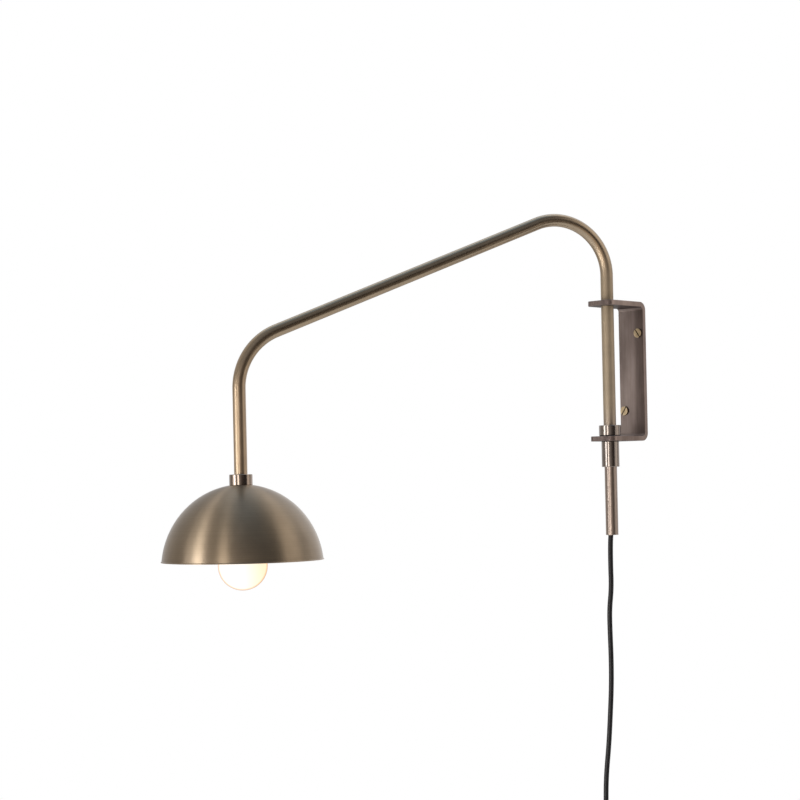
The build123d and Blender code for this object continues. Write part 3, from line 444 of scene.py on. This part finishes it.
def flat_bar_brass(name):
    """The bracket's flat bar: brushed along, with a purplish brown patina.

    It has painted shade on the level faces and a painted shadow of the pole down the plate's right
    side, from just right of its middle, and painted light on the bar's right side faces.
    """
    shader = Shader(name)
    clouds = shader.noise(shader.place((30.0, 30.0, 9.0)), 1.0, 4.0, 0.6)
    brushed = shader.noise(shader.place((1400.0, 1400.0, 14.0)), 1.0, 3.0, 0.6)
    tone = shader.ramp(clouds, (0.36, (0.26, 0.208, 0.194)), (0.66, (0.43, 0.357, 0.333)))
    tone = shader.shade_by(tone, brushed, 0.84, 1.10, 0.8)
    # Painted shadow of the pole, darker down the plate's front face right of its middle
    right = shader.share(shader.part(shader.place(), "X"), 2.0 * MM, 9.0 * MM, "SMOOTHSTEP")
    front = shader.share(shader.facing("Y"), -0.5, -0.9)
    painted_pole_shadow = shader.maths("MULTIPLY", right, front)
    tone = shader.mix(tone, (0.69, 0.67, 0.67), painted_pole_shadow, "MULTIPLY")
    # Painted light: faces turned to the bar's right are lighter
    painted_side_light = shader.share(shader.facing("X"), 0.5, 0.9)
    tone = shader.mix(tone, (1.36, 1.33, 1.30), painted_side_light, "MULTIPLY")
    # Painted shade: level faces are darker, and less metallic
    level = shader.share(shader.maths("ABSOLUTE", shader.facing("Z")), 0.8, 1.0)
    fine_change = shader.span(brushed, -0.03, 0.03)
    shader.set(
        Base_Color=shader.mix(tone, (0.20, 0.19, 0.21), level, "MULTIPLY"),
        Metallic=shader.span(level, 1.0, 0.15),
        Specular_IOR_Level=0.1,
        Roughness=shader.maths("ADD", shader.span(clouds, 0.36, 0.42), fine_change),
        Normal=shader.bump(brushed, 0.10, 0.03),
    )
    return shader.material


def slotted_screw_brass(name):
    """Wall screws: bright brass faces, with painted shade in the slots and down the heads' sides.
    """
    bright_depth = 0.25 * MM
    dark_depth = 0.7 * MM
    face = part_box("wall_screws")[0].y
    shader = Shader(name)
    at = shader.place()
    # Painted shade: darker below the heads' faces, in the slots and down their sides
    painted_slot_shade = shader.share(shader.part(at, "Y"), face + bright_depth, face + dark_depth)
    clouds = shader.noise(at, 300.0)
    bright = shader.ramp(clouds, (0.35, (0.70, 0.55, 0.35)), (0.65, (0.88, 0.71, 0.47)))
    shader.set(
        Base_Color=shader.mix(bright, (0.075, 0.052, 0.038), painted_slot_shade),
        Metallic=1.0,
        Roughness=shader.span(clouds, 0.30, 0.40),
        Normal=shader.bump(clouds, 0.05, 0.03),
    )
    return shader.material


def plain_metal(name, colour, roughness):
    """Small metal parts, with faint blotches."""
    shader = Shader(name)
    clouds = shader.noise(shader.place(), 260.0)
    low = tuple(channel * 0.82 for channel in colour)
    shader.set(
        Base_Color=shader.ramp(clouds, (0.35, low), (0.65, colour)),
        Metallic=1.0,
        Roughness=shader.span(clouds, roughness - 0.05, roughness + 0.07),
        Normal=shader.bump(clouds, 0.05, 0.03),
    )
    return shader.material


def moulded(name, colour, roughness, grain=0.08, grain_scale=1800.0):
    """Moulded plastic or rubber with a fine grain."""
    shader = Shader(name)
    grains = shader.noise(shader.place(), grain_scale, 2.0)
    clouds = shader.noise(shader.place(), 60.0)
    low = tuple(channel * 0.75 for channel in colour)
    shader.set(
        Base_Color=shader.ramp(clouds, (0.3, low), (0.7, colour)),
        Roughness=shader.span(clouds, roughness - 0.05, roughness + 0.05),
        Normal=shader.bump(grains, grain, 0.04),
    )
    return shader.material


def lit_glass(name, centre):
    """Opal glass of the lit bulb: near white, with painted warmer light on one side, and browner at
    its outline.
    """
    warm_from = -6.0 * MM
    warm_to = 34.0 * MM
    shader = Shader(name)
    glow = shader.ramp(
        shader.add("LayerWeight", {"Blend": 0.5}).outputs["Facing"],
        (0.0, (1.0, 0.96, 0.90)),
        (0.60, (1.0, 0.93, 0.84)),
        (0.72, (0.90, 0.66, 0.47)),
        (0.88, (0.45, 0.26, 0.16)),
        (1.0, (0.30, 0.17, 0.10)),
    )
    off_centre = shader.add("VectorMath", {0: shader.place(), 1: centre}, operation="SUBTRACT")
    side = shader.reach(off_centre.outputs[0], TO_RIGHT)
    # Painted light: the glow turns warmer towards the camera's right
    painted_warm_side = shader.share(side, warm_from, warm_to, "SMOOTHSTEP")
    swirl = shader.noise(shader.place(), 70.0)
    shader.set(
        Base_Color=shader.ramp(swirl, (0.3, (0.16, 0.15, 0.14)), (0.7, (0.19, 0.18, 0.17))),
        Roughness=0.30,
        Specular_IOR_Level=0.2,
        Emission_Color=shader.mix(glow, (1.0, 0.84, 0.60), painted_warm_side, "MULTIPLY"),
        Emission_Strength=1.1,
    )
    return shader.material


# Finishes
shade_brass = spun_brass("shade_spun_brass", (0.49, 0.385, 0.27), (0.43, 0.335, 0.235))
tube_brass = drawn_brass("drawn_tube_brass")
collar_brass = turned_brass("turned_collar_brass", (0.52, 0.42, 0.345), (0.42, 0.34, 0.28))
sleeve_brass = turned_brass("pivot_sleeve_brass", (0.48, 0.42, 0.38), (0.40, 0.35, 0.315))
bar_brass = flat_bar_brass("bracket_bar_brass")
screw_brass = slotted_screw_brass("screw_brass")
bright_brass = plain_metal("contact_brass", (0.80, 0.66, 0.38), 0.24)
zinc = plain_metal("zinc_plate", (0.62, 0.62, 0.60), 0.34)
spring_steel = plain_metal("spring_steel", (0.40, 0.39, 0.37), 0.30)
nickel = plain_metal("nickel_plate", (0.74, 0.73, 0.70), 0.20)
black_steel = plain_metal("black_steel", (0.05, 0.05, 0.05), 0.42)
cord_sheath = moulded("cord_sheath", (0.012, 0.012, 0.015), 0.38, 0.10, 2600.0)
black_rubber = moulded("black_rubber", (0.016, 0.016, 0.017), 0.55)
black_plastic = moulded("black_plastic", (0.020, 0.020, 0.021), 0.42, 0.16)
holder_plastic = moulded("holder_plastic", (0.030, 0.028, 0.026), 0.36)
rocker_plastic = moulded("rocker_plastic", (0.024, 0.024, 0.025), 0.20, 0.02)
strap = moulded("tie_strap", (0.018, 0.018, 0.019), 0.80, 0.60, 1500.0)
liner = moulded("liner_nylon", (0.030, 0.026, 0.022), 0.45)
ceramic = moulded("contact_ceramic", (0.78, 0.75, 0.69), 0.30, 0.03, 900.0)
light_white = moulded("light_source_white", (0.82, 0.81, 0.78), 0.45)
bulb_black = moulded("bulb_insulator", (0.010, 0.010, 0.013), 0.12)
opal = lit_glass("opal_glass", middle("bulb_glass"))

NODE_FINISHES = {
    bar_brass: ["wall_bracket"],
    screw_brass: ["wall_screws"],
    liner: ["upper_bush", "lower_bush", "thrust_washer"],
    spring_steel: ["spring_washer"],
    tube_brass: ["arm_tube"],
    collar_brass: ["shade_collar"],
    sleeve_brass: ["arm_collar", "pivot_sleeve"],
    black_steel: ["collar_set_screws", "sleeve_set_screws", "switch_screws"],
    zinc: ["shade_nipple", "shade_washer", "shade_locknut", "rocker_pin"],
    shade_brass: ["dome_shade"],
    holder_plastic: ["lampholder_cap", "lampholder_body"],
    ceramic: ["contact_base"],
    bright_brass: ["screw_shell", "centre_contact", "terminal_screws", "switch_contacts"],
    nickel: ["bulb_cap", "bulb_tip_contact", "plug_blades"],
    bulb_black: ["bulb_insulator"],
    opal: ["bulb_glass"],
    light_white: ["bulb_light_source"],
    black_rubber: ["cord_grip", "switch_grommets", "plug_relief"],
    cord_sheath: ["cord_in_arm", "holder_leads", "cord_lead", "cord_link", "cord_coil"],
    black_plastic: ["switch_front", "switch_back", "plug_body"],
    rocker_plastic: ["switch_rocker"],
    strap: ["coil_tie"],
}


def finish_nodes():
    """Gives every CAD node its finish."""
    for material, names in NODE_FINISHES.items():
        for name in names:
            for holder in nodes[name].material_slots:
                holder.material = material


# Pieces

def tube_corners():
    """The arm's line with its bends not yet rounded: mouth, rear corner, front corner, foot."""
    slope_way = ARM_WAY * cos(ARM_SLOPE) - UP * sin(ARM_SLOPE)
    rear_reach = REAR_BEND * tan((pi / 2 + ARM_SLOPE) / 2)
    front_reach = FRONT_BEND * tan((pi / 2 - ARM_SLOPE) / 2)
    mouth = Vector((POLE.x, POLE.y, bottom("arm_tube")))
    rear_corner = Vector((POLE.x, POLE.y, POLE_TOP + rear_reach))
    front_corner = rear_corner + slope_way * (rear_reach + SLOPE_LENGTH + front_reach)
    foot = Vector((front_corner.x, front_corner.y, top("shade_collar") - TUBE_SEAT))
    corners = bpy.data.meshes.new("arm_tube_corners")
    corners.from_pydata([mouth, rear_corner, front_corner, foot], [(0, 1), (1, 2), (2, 3)], [])
    return corners


def arm_tube():
    """Bent tube: its line is rounded at the two bends and swept with its wall."""
    tree = Tree("bent_tube")
    radius = tree.size("Tube radius", TUBE_RADIUS)
    wall = tree.size("Tube wall", TUBE_WALL)
    rear = tree.size("Rear bend radius", REAR_BEND)
    front = tree.size("Front bend radius", FRONT_BEND)
    steps = tree.size("Steps in a bend", STEPS_IN_A_BEND, "NodeSocketInt")
    sides = tree.size("Sides", TUBE_SIDES, "NodeSocketInt")

    line = tree.add("MeshToCurve", {"Mesh": tree.entry.outputs["Geometry"]})
    index = tree.add("InputIndex")
    at_rear = tree.add(
        "Compare",
        {2: index.outputs[0], 3: 1},
        prefix="FunctionNode",
        data_type="INT",
        operation="EQUAL",
    )
    bend = tree.add("Switch", {0: at_rear.outputs[0], 1: front, 2: rear}, input_type="FLOAT")
    bent = tree.add(
        "FilletCurve",
        {"Curve": line.outputs[0], "Count": steps, "Radius": bend.outputs[0]},
        mode="POLY",
    )
    length = tree.add("SplineParameter").outputs["Length"]
    marked = tree.add(
        "StoreNamedAttribute",
        {"Geometry": bent.outputs[0], "Name": "along", "Value": length},
        domain="POINT",
    )
    ring = tree.add("CurvePrimitiveCircle", {"Resolution": sides, "Radius": radius})
    outside = tree.add(
        "CurveToMesh",
        {"Curve": marked.outputs[0], "Profile Curve": ring.outputs[0]},
    )
    inwards = tree.add("Math", {0: wall, 1: -1.0}, prefix="ShaderNode", operation="MULTIPLY")
    bore = tree.add(
        "ExtrudeMesh",
        {"Mesh": outside.outputs[0], "Offset Scale": inwards.outputs[0], "Individual": False},
    )
    flipped = tree.add("FlipFaces", {"Mesh": bore.outputs[0]})
    both = tree.join(outside.outputs[0], flipped.outputs[0])
    closed = tree.add("MergeByDistance", {"Geometry": both, "Distance": MM / 1000})
    mesh = tree.make("bent_arm_tube", tube_corners(), closed.outputs[0], tube_brass)
    smooth(mesh)
    keep_mesh("bent_arm_tube", mesh, "arm", "tube_brass", "arm_tube")


def shade_profile():
    """Closed profile of the spun shade: from the seat down, round the lip, back up inside."""
    seat = top("dome_shade")
    rise = SHADE_CROWN * sqrt(1 - (SHADE_SEAT_RADIUS / SHADE_RADIUS) ** 2)
    centre = seat - rise
    rim = centre + SHADE_RIM_RISE
    quarter_steps = [(pi / 2) * i / SHADE_STEPS for i in range(SHADE_STEPS + 1)]

    def outline(inset, height):
        return (SHADE_RADIUS - inset) * sqrt(1 - ((height - centre) / (SHADE_CROWN - inset)) ** 2)

    outside = [(SHADE_BORE, seat)]
    for i in range(1, SHADE_SEAT_STEPS + 1):
        flat = (SHADE_SEAT_RADIUS - SHADE_BORE) * i / SHADE_SEAT_STEPS
        outside.append((SHADE_BORE + flat, seat))
    lip_top = rim + LIP_HEIGHT
    for turn in quarter_steps[1:]:
        height = lip_top + (seat - lip_top) * cos(turn)
        outside.append((outline(0.0, height), height))
    lip = outline(0.0, rim) + LIP_REACH
    round_lip = [
        (lip - LIP_ROUNDING, rim + LIP_SHOULDER),
        (lip, rim + LIP_FACE_TOP),
        (lip, rim + LIP_ROUNDING),
        (lip - LIP_ROUNDING, rim),
    ]
    inside = [(outline(SHADE_WALL, rim), rim)]
    ceiling = seat - SHADE_WALL
    low = rim + LIP_HOLLOW
    for turn in quarter_steps:
        height = low + (ceiling - low) * sin(turn)
        if height < ceiling:
            inside.append((outline(SHADE_WALL, height), height))
    inside.append((SHADE_BORE, ceiling))
    return outside + round_lip + inside


def dome_shade():
    """Spun dome shade with its small out-turned lip."""
    mesh = turned("spun_dome_shade", shade_profile(), STEM, shade_brass, SHADE_SIDES)
    keep_mesh("spun_dome_shade", mesh, "arm", "shade_brass", "dome_shade")


# Cords: one thickness, in an upright plane through the pole. Places in that plane are in
# millimetres, as (to its side, up, out of it).
CORD_RADIUS = 3.2 * MM
CORD_PLANE_ANGLE = radians(44.0)
SWITCH_SIDE = -15.2
SWITCH_OUT = -0.2
COIL_START_SIDE = -16.8
COIL_CENTRE_LEVEL = -722.0
COIL_MID_RADIUS = 34.5
COIL_PITCH = 6.95
COIL_LAYERS = 4
COIL_TURNS_PER_LAYER = 2.25
COIL_POINTS_PER_TURN = 16
PLUG_BELOW_COIL = 14.0

LEAD_ROUTE = (
    (0.0, -178.2, 0.0),
    (0.0, -192.2, 0.0),
    (-2.5, -213.5, 0.5),
    (-3.0, -245.0, 0.9),
    (-2.5, -276.0, 0.2),
    (-5.5, -303.0, -0.6),
    (-5.3, -332.0, -0.9),
    (-4.7, -364.0, 0.1),
    (-5.2, -399.0, 1.0),
    (-7.5, -438.0, 0.9),
    (-9.9, -474.0, 0.1),
    (-13.9, -512.0, -0.6),
    (-15.2, -541.0, -0.2),
    (SWITCH_SIDE, -562.0, SWITCH_OUT),
)
LINK_ROUTE = (
    (SWITCH_SIDE, -646.0, SWITCH_OUT),
    (SWITCH_SIDE, -659.0, SWITCH_OUT),
    (-15.9, -676.0, 0.1),
    (COIL_START_SIDE, -695.0, 0.0),
    (COIL_START_SIDE, -715.6, 0.0),
)


def hung(sideways, level, out):
    """Point of the plane that the cord hangs in, given in millimetres."""
    side_way = Vector((cos(CORD_PLANE_ANGLE), sin(CORD_PLANE_ANGLE), 0.0))
    out_way = Vector((sin(CORD_PLANE_ANGLE), -cos(CORD_PLANE_ANGLE), 0.0))
    return POLE + (side_way * sideways + UP * level + out_way * out) * MM


def cord_curve(name, points, *stands_for):
    """Cord as one smooth NURBS spline through its route's points."""
    curve = bpy.data.curves.new(name, "CURVE")
    curve.dimensions = "3D"
    curve.bevel_depth = CORD_RADIUS
    curve.bevel_resolution = 6
    curve.resolution_u = 8
    spline = curve.splines.new("NURBS")
    spline.points.add(len(points) - 1)
    for knot, point in zip(spline.points, points):
        knot.co = (*point, 1.0)
    spline.order_u = 3
    spline.use_endpoint_u = True
    curve.materials.append(cord_sheath)
    cord = bpy.data.objects.new(name, curve)
    bpy.context.scene.collection.objects.link(cord)
    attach(cord, "arm")
    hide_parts(*stands_for)
    return cord


def hanging_lead():
    """Cord from the grip in the tail down to the line switch."""
    points = [hung(*place) for place in LEAD_ROUTE]
    cord = cord_curve("lead_cord", points, "cord_lead")


def coil_points():
    """The coil's points, layer by layer, spiralling in and out by turns.

    A spline cuts inside the corners of its route, so the route is swelled by what it cuts.
    """
    outer = COIL_MID_RADIUS + COIL_TURNS_PER_LAYER * COIL_PITCH / 2
    centre_side = COIL_START_SIDE - outer
    step = 2 * pi / COIL_POINTS_PER_TURN
    swell = 1 / (1 - step**2 / 8)
    points = []
    for i in range(round(COIL_LAYERS * COIL_TURNS_PER_LAYER * COIL_POINTS_PER_TURN) + 1):
        turn = i / COIL_POINTS_PER_TURN
        layer = int(turn / COIL_TURNS_PER_LAYER)
        along = turn - layer * COIL_TURNS_PER_LAYER
        inward = along if layer % 2 == 0 else COIL_TURNS_PER_LAYER - along
        radius = (outer - COIL_PITCH * inward) * swell
        climb = 0.0
        for reversal in range(1, COIL_LAYERS):
            rise = min(max((turn - reversal * COIL_TURNS_PER_LAYER) * 2 + 0.5, 0.0), 1.0)
            climb += rise * rise * (3 - 2 * rise)
        side = centre_side + radius * cos(-2 * pi * turn)
        level = COIL_CENTRE_LEVEL + radius * sin(-2 * pi * turn)
        points.append(hung(side, level, -COIL_PITCH * climb))
    return points


def coiled_lead():
    """Rest of the cord, from the switch to the coil and out to the plug."""
    points = [hung(*place) for place in LINK_ROUTE] + coil_points()
    points.append(points[-1] - UP * PLUG_BELOW_COIL * MM)
    cord = cord_curve("coiled_cord", points, "cord_link", "cord_coil")


# Camera: its place, its turn from the wall's normal, its roll and its lens
CAMERA_PLACE = (1.526226, -2.012151, -0.132142)
CAMERA_TURN = radians(44.14)
CAMERA_ROLL = radians(-1.241)
SENSOR_WIDTH = 36.0
LENS = 87.31
LENS_RISE = 0.0995


def make_camera():
    """Level camera, 44 degrees round to the right of the wall's normal."""
    camera = bpy.data.objects.new("camera", bpy.data.cameras.new("camera"))
    camera.data.sensor_width = SENSOR_WIDTH
    camera.data.lens = LENS
    camera.data.shift_y = LENS_RISE
    turn = Matrix.Rotation(CAMERA_TURN, 4, "Z") @ Matrix.Rotation(pi / 2, 4, "X")
    turn = turn @ Matrix.Rotation(CAMERA_ROLL, 4, "Z")
    camera.matrix_world = Matrix.Translation(CAMERA_PLACE) @ turn
    bpy.context.scene.collection.objects.link(camera)
    bpy.context.scene.camera = camera


# Upright panels of light round the middle of the object. Each has the places of its two ends, as
# (to the camera, to its right), the heights of its foot and head, the level that its face shows,
# and its colour.
SUBJECT = Vector((-0.11, -0.27, -0.08))
PANELS = {
    "left_wing": ((0.33, -1.486), (0.549, -1.43), (-1.0, 0.03), 1.2, (1.0, 0.99, 0.98)),
    "left_strip": ((0.561, -1.369), (0.785, -1.265), (-1.0, 0.05), 4.6, (1.0, 0.99, 0.98)),
    "front_strip": ((1.953, -1.471), (2.127, -1.049), (-1.2, 0.10), 3.1, (1.0, 0.95, 0.89)),
    "right_panel": ((0.77, 0.82), (0.0, 1.2), (-0.3, 1.15), 0.50, (1.0, 0.91, 0.82)),
    "back_panel": ((-0.5, -1.4), (-0.5, 0.5), (0.9, 2.6), 0.45, (0.90, 0.97, 1.0)),
    "front_panel": ((1.60, -1.20), (1.30, 0.95), (0.60, 2.4), 0.08, (0.92, 0.97, 1.0)),
}


def panel_light(name, start, end, heights, level, colour):
    """Upright panel of light between two places, which faces the object and isn't seen itself."""
    foot, head = heights
    first, last = (TO_CAMERA * ahead + TO_RIGHT * aside for ahead, aside in (start, end))
    width = (last - first).length
    lamp = bpy.data.lights.new(name, "AREA")
    lamp.shape = "RECTANGLE"
    lamp.size = width
    lamp.size_y = head - foot
    lamp.energy = level * pi * width * (head - foot)
    lamp.color = colour
    light = bpy.data.objects.new(name, lamp)
    light.location = (first + last) / 2 + UP * (foot + head) / 2
    away = (last - first).normalized().cross(UP)
    if away.dot(light.location - SUBJECT) < 0:
        away = -away
    light.rotation_euler = away.to_track_quat("Z", "Y").to_euler()
    light.visible_camera = False
    bpy.context.scene.collection.objects.link(light)


def make_lights():
    """Bright strips low on the left, a tan panel on the right, dim high ones front and behind."""
    for name, panel in PANELS.items():
        panel_light(name, *panel)


# Colours that the metal mirrors, by bearing in degrees right of the camera, at three heights
LEVEL_ROOM = (
    (-180, (0.95, 0.95, 0.95)),
    (-160, (0.60, 0.60, 0.61)),
    (-145, (0.50, 0.49, 0.49)),
    (-120, (0.38, 0.36, 0.34)),
    (-104, (0.25, 0.23, 0.21)),
    (-88, (0.26, 0.24, 0.22)),
    (-42, (0.38, 0.34, 0.31)),
    (-12, (0.28, 0.25, 0.23)),
    (0, (0.20, 0.18, 0.17)),
    (8, (0.085, 0.075, 0.070)),
    (20, (0.025, 0.021, 0.019)),
    (62, (0.025, 0.021, 0.019)),
    (72, (0.22, 0.20, 0.18)),
    (96, (0.24, 0.22, 0.20)),
    (107, (0.24, 0.22, 0.21)),
    (112, (0.52, 0.50, 0.48)),
    (145, (0.68, 0.67, 0.68)),
    (180, (0.95, 0.95, 0.95)),
)
UPPER_ROOM = (
    (-180, (0.50, 0.54, 0.61)),
    (-120, (0.42, 0.42, 0.42)),
    (-90, (0.40, 0.38, 0.36)),
    (-40, (0.20, 0.20, 0.20)),
    (0, (0.13, 0.13, 0.14)),
    (15, (0.065, 0.065, 0.07)),
    (62, (0.065, 0.065, 0.07)),
    (80, (0.42, 0.40, 0.37)),
    (100, (0.55, 0.53, 0.51)),
    (135, (0.78, 0.79, 0.82)),
    (180, (0.50, 0.54, 0.61)),
)
LOWER_ROOM = (
    (-180, (0.34, 0.31, 0.28)),
    (-120, (0.28, 0.25, 0.22)),
    (-70, (0.40, 0.35, 0.29)),
    (-30, (0.60, 0.50, 0.40)),
    (12, (0.55, 0.45, 0.36)),
    (38, (0.06, 0.05, 0.045)),
    (60, (0.07, 0.06, 0.05)),
    (92, (0.50, 0.47, 0.43)),
    (130, (0.38, 0.35, 0.32)),
    (180, (0.34, 0.31, 0.28)),
)
OVERHEAD = (0.27, 0.37, 0.49)

# Rises over which one height of the room blends into the next
LOWER_TO_LEVEL = (-0.24, -0.04)
LEVEL_TO_UPPER = (0.10, 0.50)
UPPER_TO_OVERHEAD = (0.88, 1.0)

SOFT_LIGHT = (1.0, 0.99, 0.97)
SOFT_LEVEL = 0.45


def make_world():
    """Studio round the object: white to look at, soft light on it, and the room in its metal."""
    world = bpy.data.worlds.new("studio")
    bpy.context.scene.world = world
    world.use_nodes = True
    world.node_tree.nodes.clear()
    tree = ShaderTree(world.node_tree)

    def round_the_room(place, stops):
        return tree.ramp(place, *(((angle + 180) / 360, colour) for angle, colour in stops))

    def blend(below, above, rises):
        return tree.mix(below, above, tree.share(rise, *rises, "SMOOTHSTEP"))

    way = tree.add("TexCoord").outputs["Generated"]
    rise = tree.part(way, "Z")
    bearing = tree.maths("ARCTAN2", tree.reach(way, TO_RIGHT), tree.reach(way, TO_CAMERA))
    place = tree.share(bearing, -pi, pi)
    level_room, upper_room, lower_room = (
        round_the_room(place, stops) for stops in (LEVEL_ROOM, UPPER_ROOM, LOWER_ROOM)
    )
    room = blend(level_room, upper_room, LEVEL_TO_UPPER)
    room = blend(room, OVERHEAD, UPPER_TO_OVERHEAD)
    room = blend(lower_room, room, LOWER_TO_LEVEL)

    rays = tree.add("LightPath").outputs
    looked_at = tree.maths("MAXIMUM", rays["Is Camera Ray"], rays["Is Transmission Ray"])
    white = tree.add("Background", {"Color": grey(1.0), "Strength": 1.0}).outputs[0]
    mirrored = tree.add("Background", {"Color": room, "Strength": 1.0}).outputs[0]
    soft = tree.add("Background", {"Color": SOFT_LIGHT, "Strength": SOFT_LEVEL}).outputs[0]
    lit = tree.add("MixShader", {0: rays["Is Glossy Ray"], 1: soft, 2: mirrored}).outputs[0]
    final = tree.add("MixShader", {0: looked_at, 1: lit, 2: white}).outputs[0]
    tree.add("OutputWorld", {"Surface": final})


FLOOR_REACH = 1.5
FLOOR_BELOW_PLUG = 0.2
FLOOR_WHITENING = 0.5
FLOOR_MIRRORED = 0.12


def make_floor():
    """Pale floor under the hanging plug, whiter to look at than its light makes it."""
    mesh = bpy.data.meshes.new("floor")
    level = bottom("plug_blades") - FLOOR_BELOW_PLUG
    corners = [
        (SUBJECT.x + side * FLOOR_REACH, SUBJECT.y + depth * FLOOR_REACH, level)
        for side, depth in ((-1, -1), (1, -1), (1, 1), (-1, 1))
    ]
    mesh.from_pydata(corners, [], [(0, 1, 2, 3)])
    floor = bpy.data.objects.new("floor", mesh)
    shader = Shader("floor_white")
    rays = shader.add("LightPath").outputs
    looked_at = shader.maths("MAXIMUM", rays["Is Camera Ray"], rays["Is Transmission Ray"])
    mirrored = shader.span(rays["Is Glossy Ray"], 0.0, FLOOR_MIRRORED)
    shader.set(
        Base_Color=grey(0.8),
        Roughness=0.8,
        Emission_Color=grey(1.0),
        Emission_Strength=shader.maths("MULTIPLY_ADD", looked_at, FLOOR_WHITENING, mirrored),
    )
    mesh.materials.append(shader.material)
    bpy.context.scene.collection.objects.link(floor)


finish_nodes()
make_camera()
hanging_lead()
coiled_lead()
arm_tube()
dome_shade()
make_lights()
make_world()
make_floor()
bpy.context.scene.view_settings.view_transform = "Standard"
